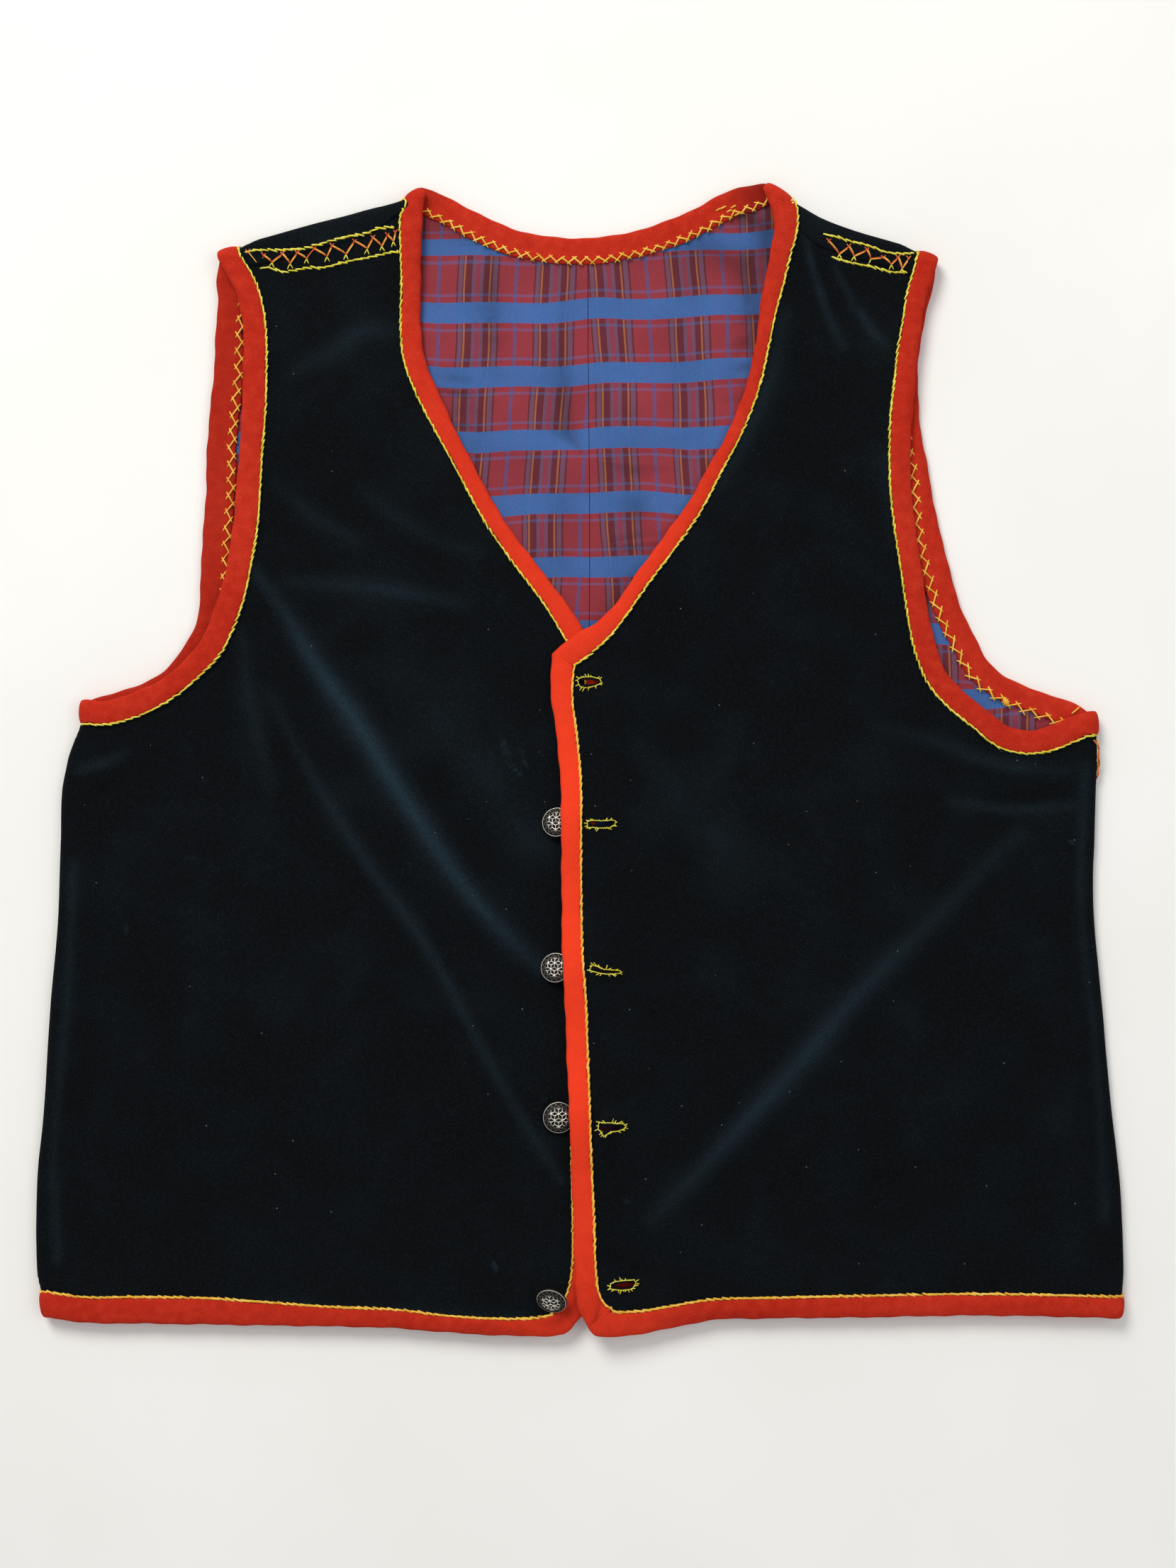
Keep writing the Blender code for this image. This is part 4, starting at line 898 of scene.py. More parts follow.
def make_strip(name, stations, closed, seed):
    lengths = lengths_of(np.array([s.edge for s in stations]))
    spans = (PUFF_SPANS, STRAY_SPANS, SWELL_SPANS)
    uneven = [waves(lengths, each, seed + i) for i, each in enumerate(spans)]
    if closed:
        fade = smoothstep(np.minimum(lengths, lengths[-1] - lengths) / RING_FADE_MM)
        uneven = [wave * fade for wave in uneven]
    points, faces = [], []
    for station, along, puff, stray, swell in zip(stations, lengths, *uneven):
        grip = GRIP_MM * (0.5 + 0.5 * math.cos(math.tau * along / STITCH_MM))
        width = station.width + SWELL_MM * swell
        places = [
            station.edge + station.across * (width * across - STRAY_MM * stray * (1 - across))
            for across, _ in ROLL
        ]
        for (across, height), place in zip(ROLL, places):
            full = math.sin(math.pi * across) if across < 1 else 0
            rise = height * station.half * (1 + PUFF_SHARE * puff * full)
            rise -= grip * smoothstep((across - 0.7) / 0.25)
            if station.out[2] < -0.5:
                rise = min(rise, station.half - 0.02)
            points.append(place + station.out * rise)
        for (_, height), place in zip(reversed(ROLL), reversed(places)):
            points.append(place - station.out * min(height, 0.98) * station.half)
    count = 2 * len(ROLL)
    rings = len(stations)
    for i in range(rings if closed else rings - 1):
        here, after = i * count, (i + 1) % rings * count
        faces += [(here + k, here + k + 1, after + k + 1, after + k) for k in range(count - 1)]
    piece = new_piece(f"wool_{name}", points, faces, FLANNEL)
    # Painted light, and painted shade with grime, as vertex values of each ring.
    for value, amount in (("lit_brighter", PAINTED_LIGHT[name.split("_")[0]]), ("grime_and_shade", in_the_corner)):
        mark(piece.data, value, np.repeat([amount(station) for station in stations], count))
    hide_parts(name)


for i, (name, stations) in enumerate(STRIPS.items()):
    make_strip(name, stations, name.startswith("armhole"), seed=10 * i + 3)

# %% [markdown]
# ## Velvet panels
#
# Each panel starts as a copy of its plain solid, so that it keeps the true outline and the big folds.
# Its long thin triangles are first cut finer by a subdivision surface, which also rounds the folds at the
# sides and shoulders. Its sharp rims are creased so that they stay where they are. Then the smaller
# creases are pressed in by moving points up and down, each crease from a row of a table: both ends, its
# height and its half width. Rows of the same kind say where the colour is painted paler, partly for nap
# brushed pale and partly as a painted sheen highlight.

# %% Panel helpers
WELD_MM = 0.02
RIM_ANGLE, CRISP_ANGLE = 48, 40


def refined(node, levels):
    """The node's mesh with its corners welded, its rims creased and every face cut finer."""
    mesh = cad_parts[node].data.copy()
    work = bmesh.new()
    work.from_mesh(mesh)
    bmesh.ops.remove_doubles(work, verts=work.verts, dist=WELD_MM * MM)
    rims = work.edges.layers.float.new("crease_edge")
    for edge in work.edges:
        if len(edge.link_faces) == 2 and edge.calc_face_angle(0) > math.radians(RIM_ANGLE):
            edge[rims] = 1.0
    work.to_mesh(mesh)
    work.free()
    source = in_scene("source", mesh)
    finer = source.modifiers.new("finer", "SUBSURF")
    finer.levels = finer.render_levels = levels
    finer.use_limit_surface = False
    smooth = bpy.data.meshes.new_from_object(source.evaluated_get(bpy.context.evaluated_depsgraph_get()))
    bpy.data.objects.remove(source)
    bpy.data.meshes.remove(mesh)
    return smooth


def panel(name, mesh, material):
    """A panel's piece, with its own cloth in the place of the plain model's material."""
    mesh.materials.clear()
    mesh.materials.append(material)
    return placed_piece(name, mesh, CRISP_ANGLE)


def points_of(mesh):
    points = np.empty(len(mesh.vertices) * 3)
    mesh.vertices.foreach_get("co", points)
    return points.reshape(-1, 3) / MM - SHIFT


def put_points(mesh, points):
    mesh.vertices.foreach_set("co", to_model(points).ravel())
    mesh.update()


def ridges(points, rows, taper=0.35):
    """Height of soft ridges at each point: highest in the middle of a row, and dying out at its ends."""
    total = np.zeros(len(points))
    for x0, y0, x1, y1, height, half_width in rows:
        start, along = np.array([x0, y0]), np.array([x1 - x0, y1 - y0])
        share = (points[:, :2] - start) @ along / (along @ along)
        near = start + np.clip(share, 0, 1)[:, None] * along
        away = np.clip(np.linalg.norm(points[:, :2] - near, axis=1) / half_width, 0, 1)
        ends = mix(taper, 1, np.sin(math.pi * np.clip(share, 0, 1)))
        bump = height * ends * np.cos(away * math.pi / 2) ** 2
        total = np.where(abs(bump) > abs(total), bump, total)
    return total


def streaks(points, curves):
    """A share of 0 to 1 for pale nap and painted sheen, painted shade or grime: 1 along a curve's middle,
    less to its sides.
    """
    total = np.zeros(len(points))
    for rows in curves:
        line, _ = smooth_curve(rows, 6.0)
        best = np.zeros(len(points))
        for start, end in zip(line, line[1:]):
            along = (end - start)[:2]
            share = np.clip((points[:, :2] - start[:2]) @ along / (along @ along), 0, 1)
            away = np.linalg.norm(points[:, :2] - (start[:2] + share[:, None] * along), axis=1)
            strength, half = mix(start[2], end[2], share), mix(start[3], end[3], share)
            best = np.maximum(best, strength * np.exp(-2.2 * (away / half) ** 1.5))
        total = 1 - (1 - total) * (1 - best)
    return total


FULLER = {
    "right": (
        (10, 0.8), (30, 1.2), (60, 0.9), (90, 1.6), (170, 1.6), (210, 0.9), (255, 0.9), (278, 2.4),
        (294, 2.4), (306, 1.2), (320, 0.3),
    ),
    "left": (
        (10, 0.3), (60, 0.3), (100, 1.6), (160, 1.6), (200, 0.8), (250, 0.9), (280, -0.2), (320, 0.0),
    ),
}
FULLER_SHOULDER = 1.9
FOLD_STEP, FOLD_REACH = 3.0, 6
FADE_START, SIDE_FADE, SHOULDER_FADE = 10, 14, 26


def fuller_folds(points, side):
    """Pushes the side and shoulder folds out a little, as seen from above against the photograph."""
    sides = np.interp(points[:, 1], *zip(*FULLER[side]))
    for rows, outward, more, fade in (
        (SIDE_FOLD[side], OUTWARD[side], sides, SIDE_FADE),
        (SHOULDER_FOLD[side], (0, 1), FULLER_SHOULDER, SHOULDER_FADE),
    ):
        line, directions = smooth_curve(rows, FOLD_STEP)
        lengths = lengths_of(line)
        outs = np.array([square_to(d, outward) for d in directions])
        axis = line - outs * VELVET_FOLD
        gaps = np.linalg.norm(points[:, None, :2] - axis[None], axis=2)
        near = gaps.argmin(axis=1)
        beyond = np.einsum("ij,ij->i", points[:, :2] - axis[near], outs[near])
        to_end = (lengths[-1] - lengths)[near]
        ends = smoothstep((lengths[near] - FADE_START) / SIDE_FADE) * smoothstep((to_end - FADE_START) / fade)
        at_fold = (beyond > 0) & (gaps.min(axis=1) < FOLD_REACH)
        push = np.where(at_fold, np.clip(beyond / VELVET_FOLD, 0, 1), 0) * ends * more
        points[:, :2] += outs[near] * push[:, None]
    return points


def cloth_unevenness(points, size=0.22):
    """Gentle swells of a few centimetres, as any laid cloth has."""
    x, y = points[:, 0], points[:, 1]
    swells = np.sin(x / 13 + 2 * np.sin(y / 31)) * np.sin(y / 17 + 1.3 * np.sin(x / 23))
    ripples = 0.6 * np.sin((x + y) / 9.0) * np.sin((x - 2 * y) / 21)
    return size * (swells + ripples)


print("panel helpers ready")

# %% [markdown]
# The bindings are darkened in a few places, by grime and by painted shade in their creases: where the left
# front's strip is folded at its lower corner, and beside the lowest button. The same streaks as for the pale
# nap and sheen say where.

# %% Grime and painted shade on the bindings
GRIME_AND_CREASE_SHADE = {
    "front_binding_left": (((10, 26, 0.1, 1.6), (9, 18, 0.45, 1.8), (6.5, 9, 0.45, 2.0), (4, 5, 0.2, 2)),),
    "hem_binding": (
        ((-7, 12, 0.4, 3.5), (-13, 8, 0.45, 4), (-20, 8, 0.2, 4)), ((-30, 3, 0.2, 3), (-60, 5, 0.2, 3)),
        ((40, 8, 0.15, 3), (70, 12, 0.2, 4), (110, 14, 0.1, 4)),
    ),
    "front_binding_right": (((2, 30, 0.1, 3), (-3, 18, 0.4, 4), (-8, 10, 0.5, 4)),),
}
for name, curves in GRIME_AND_CREASE_SHADE.items():
    mesh = made_pieces[f"wool_{name}"].data
    values = streaks(points_of(mesh), curves)
    mesh.attributes["grime_and_shade"].data.foreach_set("value", values.astype(np.float32))
    print(name, "grimy places:", len(curves))

# %% [markdown]
# ## Velvet fronts
#
# The fronts have been worn and folded, so they are full of soft creases: at the armholes and shoulders,
# across the chest and beside the buttonholes. Their places were charted from the photograph, and so were
# the pale streaks, partly brushed nap and partly a painted sheen highlight, and a few small pale marks.

# %% Creases, pale nap and painted sheen
CREASES = {
    "right": (
        (-252, 288, -230, 296, 0.8, 5), (-254, 270, -236, 280, -0.5, 6), (-120, 386, -64, 376, 0.5, 6),
        (-176, 385, -150, 356, 0.6, 8), (-130, 520, -112, 480, 0.5, 12), (-155, 500, -150, 440, -0.4, 9),
        (-90, 470, -70, 430, 0.4, 8), (-60, 345, -20, 320, 0.4, 8), (-230, 90, -180, 60, 0.5, 12),
        (-250, 170, -225, 120, 0.5, 12), (-190, 250, -215, 190, -0.4, 14), (-70, 40, -40, 30, 0.5, 8),
    ),
    "left": (
        (112, 568, 115, 550, 1.5, 5), (115, 550, 120, 534, 1.9, 6), (120, 534, 128, 515, 1.7, 6),
        (128, 515, 138, 498, 1.2, 6), (119, 565, 123, 550, -1.1, 4), (123, 550, 130, 532, -1.3, 5),
        (130, 532, 140, 516, -1.1, 5), (140, 516, 148, 506, -0.8, 5), (134, 546, 150, 512, 0.9, 6),
        (190, 279, 242, 276, 1.0, 5), (200, 268, 244, 262, 0.6, 6), (214, 300, 240, 292, 0.5, 5),
        (170, 300, 196, 284, -0.5, 8), (100, 400, 60, 350, 0.4, 12), (60, 300, 30, 230, 0.5, 12),
        (240, 180, 215, 110, 0.5, 14), (80, 480, 100, 430, 0.4, 9), (150, 90, 200, 60, 0.4, 12),
        (32, 190, 60, 215, 0.5, 9), (34, 110, 64, 135, 0.4, 9),
    ),
}
PALE_NAP_AND_SHEEN = {
    "right": (
        (
            (-167, 391, 0.25, 5), (-151, 368, 0.5, 7), (-136, 343, 0.8, 8), (-116, 315, 1.0, 9),
            (-95, 281, 1.0, 9), (-74, 249, 0.85, 9), (-53, 220, 0.75, 8), (-35, 201, 0.5, 8),
            (-20, 186, 0.3, 7),
        ),
        (
            (-160, 330, 0.1, 5), (-140, 290, 0.3, 6), (-112, 245, 0.4, 6), (-78, 197, 0.4, 6),
            (-50, 145, 0.35, 5), (-30, 110, 0.3, 5), (-10, 79, 0.25, 4),
        ),
        ((-150, 384, 0.15, 7), (-118, 382, 0.38, 8), (-84, 377, 0.4, 7), (-60, 372, 0.15, 6)),
        ((-150, 488, 0.1, 8), (-128, 500, 0.35, 10), (-108, 512, 0.35, 10), (-92, 510, 0.1, 8)),
        ((-158, 435, 0.1, 6), (-140, 420, 0.22, 7), (-116, 405, 0.2, 8)),
        ((-112, 430, 0.1, 8), (-80, 408, 0.22, 9), (-54, 398, 0.18, 8)),
        ((-255, 288, 0.25, 4), (-240, 292, 0.4, 4), (-228, 298, 0.1, 4)),
        ((-172, 360, 0.1, 5), (-168, 320, 0.25, 7), (-158, 280, 0.1, 7)),
        ((-96, 350, 0.05, 20), (-60, 300, 0.18, 26), (-24, 250, 0.2, 22)),
        ((-246, 12, 0.1, 6), (-180, 16, 0.2, 5), (-100, 14, 0.2, 5), (-30, 9, 0.2, 5)),
        ((-266, 40, 0.3, 5), (-268, 90, 0.2, 5), (-262, 160, 0.25, 5), (-258, 240, 0.3, 5)),
    ),
    "left": (
        (
            (222, 255, 0.2, 9), (180, 213, 0.32, 9), (140, 173, 0.5, 9), (112, 140, 0.6, 10),
            (92, 118, 0.62, 9), (62, 86, 0.42, 8), (36, 60, 0.2, 7),
        ),
        ((150, 310, 0.1, 6), (180, 302, 0.25, 7), (212, 291, 0.35, 6), (246, 287, 0.2, 5)),
        ((188, 272, 0.15, 6), (214, 268, 0.3, 5), (250, 270, 0.25, 5)),
        (
            (112, 566, 0.1, 3), (115, 552, 0.35, 3), (119, 538, 0.42, 3.5), (125, 520, 0.42, 4),
            (133, 503, 0.2, 4),
        ),
        ((127, 548, 0.1, 3), (132, 537, 0.3, 3), (139, 525, 0.4, 4), (147, 512, 0.5, 4), (155, 503, 0.2, 4)),
        ((104, 520, 0.15, 6), (97, 490, 0.28, 7), (86, 462, 0.28, 7), (70, 432, 0.15, 7)),
        ((160, 480, 0.05, 8), (156, 440, 0.18, 9), (158, 400, 0.1, 8)),
        ((30, 300, 0.1, 14), (52, 270, 0.16, 20), (90, 230, 0.1, 20)),
        ((246, 16, 0.2, 6), (150, 17, 0.15, 5), (60, 14, 0.15, 5)),
        ((266, 60, 0.25, 5), (262, 140, 0.2, 5), (254, 220, 0.25, 5), (256, 290, 0.3, 5)),
    ),
}
PALE_MARKS = (
    (-41, 304, -37, 294, 0.8, 1.5), (-36, 291, -30, 285, 0.7, 1.5), (-31, 299, -28, 289, 0.5, 1.2),
    (-34, 306, -32, 302, 0.5, 1.2), (-197, 254, -194, 252, 0.8, 1.2), (-200, 246, -198, 243, 0.6, 1.0),
    (-235, 207, -231, 206, 0.6, 1.2), (-215, 175, -213, 173, 0.6, 1.0), (-46, 38, -42, 34, 0.7, 1.2),
    (-190, 236, -186, 232, 0.4, 1.4), (-20, 121.5, -18.5, 121, 0.6, 1.1), (22, 69.8, 23.4, 69, 0.8, 1.3),
    (7.3, 232.8, 8, 232.2, 0.7, 0.9), (248, 252, 249.5, 250, 0.6, 1.1), (260, 167, 261, 166, 0.6, 1.0),
)


def dress_front(side):
    name = f"velvet_front_{side}"
    mesh = refined(f"front_{side}", 3)
    points = fuller_folds(points_of(mesh), side)
    points[:, 2] += ridges(points, CREASES[side]) + cloth_unevenness(points)
    put_points(mesh, points)
    # Brushed nap and painted sheen highlight, with the pale marks, as one vertex value.
    pale_nap_and_sheen = np.maximum(streaks(points, PALE_NAP_AND_SHEEN[side]), ridges(points, PALE_MARKS))
    mark(mesh, "nap_and_sheen", np.clip(pale_nap_and_sheen + 0.04 * cloth_unevenness(points, 1.0), 0, 1))
    piece = panel(name, mesh, VELVET)
    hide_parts(f"front_{side}")
    return piece


fronts = {side: dress_front(side) for side in ("right", "left")}

# %% [markdown]
# ## Velvet back
#
# The back lies under everything, on the table. It creased as the fronts did, so a few like creases run over
# its outer side: shallow troughs into the cloth, with pale streaks along them, partly brushed nap and partly
# a painted sheen highlight. Between them it stays flat, because it rests there.

# %% Lay the back
BACK_CREASES = (
    (-190, 430, -90, 330, 0.5, 12), (-90, 330, -20, 220, 0.5, 12), (150, 420, 60, 300, 0.45, 12),
    (60, 300, 30, 180, 0.4, 11), (-230, 250, -170, 130, 0.4, 12), (220, 240, 150, 110, 0.5, 13),
    (-60, 120, 40, 90, 0.35, 11), (-120, 520, -60, 500, 0.4, 10), (110, 520, 50, 505, 0.4, 10),
)
BACK_PALE_NAP_AND_SHEEN = (
    ((-190, 430, 0.2, 6), (-140, 385, 0.6, 9), (-90, 330, 0.7, 9), (-50, 270, 0.5, 8), (-20, 220, 0.2, 6)),
    ((150, 420, 0.15, 7), (105, 362, 0.5, 9), (60, 300, 0.45, 9), (40, 240, 0.3, 8), (30, 180, 0.1, 6)),
    ((-230, 250, 0.15, 7), (-200, 190, 0.35, 9), (-170, 130, 0.15, 7)),
    ((220, 240, 0.2, 8), (185, 175, 0.5, 10), (150, 110, 0.2, 8)),
)
RESTING_MM = 0.5
BACK_EDGE_MM, HALVINGS = 8.0, 5
SLIVER_MM = 0.001
BACK_NAP = 0.06


def cut_finer(mesh):
    """Halves the long edges of the side that rests, whose large flat faces can't take a crease."""
    work = bmesh.new()
    work.from_mesh(mesh)
    bmesh.ops.triangulate(work, faces=work.faces)
    for _ in range(HALVINGS):
        resting = [edge for edge in work.edges if max(vertex.co.z for vertex in edge.verts) < RESTING_MM * MM]
        long = [edge for edge in resting if edge.calc_length() > BACK_EDGE_MM * MM]
        bmesh.ops.subdivide_edges(work, edges=long, cuts=1)
        bmesh.ops.triangulate(work, faces=[face for face in work.faces if len(face.verts) > 3])
    bmesh.ops.dissolve_degenerate(work, edges=work.edges, dist=SLIVER_MM * MM)
    work.to_mesh(mesh)
    work.free()


mesh = refined("back", 2)
cut_finer(mesh)
points = fuller_folds(fuller_folds(points_of(mesh), "right"), "left")
outer = points[:, 2] < RESTING_MM
points[outer, 2] += ridges(points[outer], BACK_CREASES)
put_points(mesh, points)
# Brushed nap and painted sheen highlight along the creases of the outer side.
pale_nap_and_sheen = np.where(outer, streaks(points, BACK_PALE_NAP_AND_SHEEN), 0)
mark(mesh, "nap_and_sheen", np.clip(BACK_NAP + pale_nap_and_sheen + 0.05 * cloth_unevenness(points, 1.0), 0, 1))
back = panel("velvet_back", mesh, VELVET)
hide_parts("back")
print("back:", round(flat_area(back) / 2, 3), "square metres")

# %% [markdown]
# ## Lining
#
# The two halves of the lining meet in a seam down the middle of the back. The plaid is cut on the straight
# grain, but each half leans a little outwards towards the hem, and the stripes wave where the cloth isn't
# flat. So each vertex gets its own place on the cloth, in a value called weave, and the plaid is drawn
# there. A few soft folds run down the lining where the V neck shows it. A value called shade darkens the
# colour as painted shade: in the valleys between the folds and in the corners of the neck.

# %% Lay the lining
LINING_FOLDS = (
    (-66, 545, -56, 470, 1.2, 9), (-28, 548, -26, 420, 1.6, 13), (9, 500, 10, 372, 1.7, 12),
    (8, 550, 9, 500, 0.9, 13), (42, 545, 42, 420, 1.5, 13), (70, 540, 66, 480, 1.0, 10),
)
# Painted shade: where the plaid is darkened, along each curve.
LINING_SHADE = (
    (
        (-9, 535, 0.1, 6), (-10, 505, 0.4, 7), (-8, 472, 0.75, 7), (-6, 440, 0.8, 8), (-5, 400, 0.7, 8),
        (-2, 372, 0.5, 6),
    ),
    ((25, 468, 0.2, 5), (25, 446, 0.7, 6), (26, 420, 0.85, 6), (27, 405, 0.75, 6), (20, 385, 0.4, 6)),
    ((-46, 548, 0.5, 6), (-46, 520, 0.6, 6), (-45, 500, 0.45, 6), (-44, 470, 0.1, 6)),
    ((84, 548, 0.9, 9), (86, 520, 1.0, 7), (82, 495, 0.9, 6), (78, 478, 0.4, 5)),
    ((40, 558, 0.3, 7), (58, 556, 0.5, 10), (75, 548, 0.8, 11), (88, 535, 0.8, 9)),
    ((64, 570, 0.4, 8), (80, 570, 0.9, 9), (92, 566, 1.0, 10), (93, 548, 0.8, 8)),
    ((-69, 500, 0.3, 5), (-65, 485, 0.8, 5), (-61, 468, 0.7, 5), (-54, 450, 0.2, 4)),
    ((-74, 565, 0.6, 10), (-60, 560, 0.4, 9), (-20, 550, 0.3, 8), (30, 550, 0.3, 8)),
)
LEAN = 0.05
PLAID_TOP, PLAID_LEVEL = 527.0, 506.0
PLAID_RISE = ((531, 0), (544, 0.8), (549, 2.0), (558, -0.8), (566, -1.5))
FIRST_LINE = {"left": 8.64, "right": -61.2}


def lay_lining(side):
    name = f"plaid_lining_{side}"
    mesh = refined(f"lining_{side}", 3)
    points = points_of(mesh)
    x, y = points[:, 0].copy(), points[:, 1].copy()
    lean = LEAN * (PLAID_LEVEL - y) * (1 if side == "left" else -1)
    weave = np.zeros((len(points), 3), np.float32)
    weave[:, 0] = x - lean - FIRST_LINE[side] + 0.5 * np.sin(y / 21) + 0.3 * np.sin(y / 8 + x / 30)
    rise = 0.08 * np.clip(x - 22, 0, None) * smoothstep((y - 415) / 80) + np.interp(y, *zip(*PLAID_RISE))
    weave[:, 1] = PLAID_TOP - y + rise + 1.1 * np.sin(x / 20 + 0.7) + 0.7 * np.sin(x / 9 + y / 40)
    layer = mesh.attributes.new("weave", "FLOAT_VECTOR", "POINT")
    layer.data.foreach_set("vector", weave.ravel())
    points[:, 2] += ridges(points, LINING_FOLDS, taper=0.0)
    put_points(mesh, points)
    mark(mesh, "shade", streaks(points, LINING_SHADE))
    piece = panel(name, mesh, PLAID)
    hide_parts(f"lining_{side}")
    print(name, len(mesh.polygons), "faces")


for side in ("right", "left"):
    lay_lining(side)

# %% [markdown]
# ## Hand stitches
#
# A stitch is a short piece of thread that comes up out of the cloth, lies on it and goes down again. A
# thin tube of five sides with a slight arch is enough, and thousands of them can be joined in one mesh.
# The tubes are made by one small class, which keeps their points and faces until the mesh is made.

# %% Stitch maker
THREAD_MM, GOLDEN_MM, LEMON_MM = 0.42, 0.58, 0.46
TUBE_SIDES = 5
SUNK_MM = 0.45
WANDER_MM = 0.4
draw = random.Random(7)


class Stitching:
    """Threads of one colour in one place, joined in a single mesh."""

    def __init__(self, name, material):
        self.name, self.material, self.points, self.faces, self.count = name, material, [], [], 0

    def tube(self, path, radii, up):
        path = np.asarray(path, float)
        tangents = np.gradient(path, axis=0)
        first = len(self.points)
        for point, tangent, radius in zip(path, tangents, radii):
            side = np.cross(unit(tangent), up)
            side = unit(side) if np.linalg.norm(side) > 1e-6 else np.array([1.0, 0, 0])
            lift = unit(np.cross(side, unit(tangent)))
            for k in range(TUBE_SIDES):
                a = math.tau * k / TUBE_SIDES
                self.points.append(point + radius * (side * math.cos(a) + lift * math.sin(a)))
        for i in range(len(path) - 1):
            here, after = first + i * TUBE_SIDES, first + (i + 1) * TUBE_SIDES
            for k in range(TUBE_SIDES):
                m = (k + 1) % TUBE_SIDES
                self.faces.append((here + k, here + m, after + m, after + k))
        self.faces.append(tuple(first + k for k in reversed(range(TUBE_SIDES))))
        self.faces.append(tuple(len(self.points) - TUBE_SIDES + k for k in range(TUBE_SIDES)))
        self.count += 1

    def stitch(self, start, end, up, radius=THREAD_MM, arch=0.3):
        start, end, up = (np.asarray(v, float) for v in (start, end, up))
        path = [
            mix(start, end, t) + up * (arch * math.sin(math.pi * t) - (SUNK_MM if t in (0, 1) else 0))
            for t in (0, 0.12, 0.5, 0.88, 1)
        ]
        radius *= draw.uniform(0.85, 1.12)
        self.tube(path, [radius * k for k in (0.6, 0.95, 1.05, 0.95, 0.6)], up)

    def finish(self):
        new_piece(self.name, self.points, self.faces, self.material)
        print(self.name, self.count, "stitches,", len(self.faces), "faces")


class Path:
    """Places along a line of points, by their distance from its start."""

    def __init__(self, points, ups):
        self.points, self.ups = np.array(points, float), np.array(ups, float)
        self.lengths = lengths_of(self.points)
        self.length = self.lengths[-1]

    def at(self, place):
        place = min(max(place, 0), self.length)
        return (
            np.array([np.interp(place, self.lengths, self.points[:, i]) for i in range(3)]),
            unit([np.interp(place, self.lengths, self.ups[:, i]) for i in range(3)]),
        )

    def along(self, place):
        return unit(self.at(place + 0.6)[0] - self.at(place - 0.6)[0])


def stem_line(stitching, path, step=STITCH_MM * 0.82, slant=0.45, radius=THREAD_MM):
    """Overlapping slanted stitches, which read as one ragged line."""
    place = 0.0
    while place < path.length:
        reach = STITCH_MM * draw.uniform(0.95, 1.25)
        start, up = path.at(place)
        end, _ = path.at(place + reach)
        side = np.cross(path.along(place), up)
        shift = slant * draw.uniform(0.2, 1.5)
        stitching.stitch(start - side * shift, end + side * shift, up, radius)
        place += step * draw.uniform(0.9, 1.12)


def herringbone(stitching, path, low, high, step, cross=1.15):
    """Long slanted stitches that cross at top and bottom. Low and high are distances to the side."""
    count = int(path.length / step)
    for k in range(count):
        a, up = path.at(k * step - cross + draw.uniform(-WANDER_MM, WANDER_MM))
        b, up_b = path.at((k + 1) * step + cross + draw.uniform(-WANDER_MM, WANDER_MM))
        side = np.cross(path.along(k * step + step / 2), up)
        first, second = (low, high) if k % 2 == 0 else (high, low)
        a = a + side * (first + draw.uniform(-WANDER_MM, WANDER_MM))
        b = b + side * (second + draw.uniform(-WANDER_MM, WANDER_MM))
        stitching.stitch(a, b, unit(up + up_b), arch=0.35)


# %% [markdown]
# ## Yellow stitches along the bindings
#
# On the velvet side a line of stem stitches holds each strip, just where its edge meets the pile. On the
# lining side the strip is held by herringbone stitches. They show round the back of the neck and inside
# the armholes, wherever the front doesn't cover them. A few loose stitches and a star of crossed ones
# lie where the photograph has them.

# %% Stitch the bindings
NECK_TOP_Y = 575
LOOSE_BY_THE_NECK = ((1014, 294), (1021, 291), (1029, 296), (1035, 290), (1040, 301))
STAR, STAR_RADIUS, STAR_TURN = np.array([216, 322.5]), 2, 2.4


def velvet_side(stations):
    """The line where a strip's edge meets the velvet."""
    places = [s.edge + s.across * (s.width + 0.3) + s.out * (s.half - 0.6) for s in stations]
    return Path(places, [s.out for s in stations])


def lining_side(stations, shift=lambda station: 0.0):
    """The line where a back strip's inner edge meets the lining, or a little outside it."""
    places = [s.edge + s.across * (s.width - shift(s)) - s.out * (s.half + 0.1) for s in stations]
    return Path(places, [-s.out for s in stations])


for name, stations in STRIPS.items():
    golden = name.startswith(("front", "hem"))
    stitches = Stitching(f"stem_stitches_{name}", YELLOW if golden else LEMON)
    closed = stations + stations[:1] if name.startswith("armhole") else stations
    runs = itertools.groupby(closed, lambda station: station.edge[1] < NECK_TOP_Y and station.out[2] > -0.9)
    for _, run in runs:
        run = list(run)
        if len(run) > 1:
            stem_line(stitches, velvet_side(run), radius=GOLDEN_MM if golden else LEMON_MM)
    stitches.finish()

holding = Stitching("herringbone_neck", YELLOW)
herringbone(holding, lining_side(back_neck), 0.3, -3.7, 3.1)
for x, y in drawn(LOOSE_BY_THE_NECK):
    holding.stitch((x - 1.3, y - 0.7, 5.0), (x + 1.3, y + 0.6, 5.0), UP)
holding.finish()


def on_the_strip(reach, high):
    """How far inside the strip's edge its stitches run, if they keep a reach from the outer edge."""
    return lambda station: station.width - reach + high * float(smoothstep((station.edge[1] - 400) / 40))


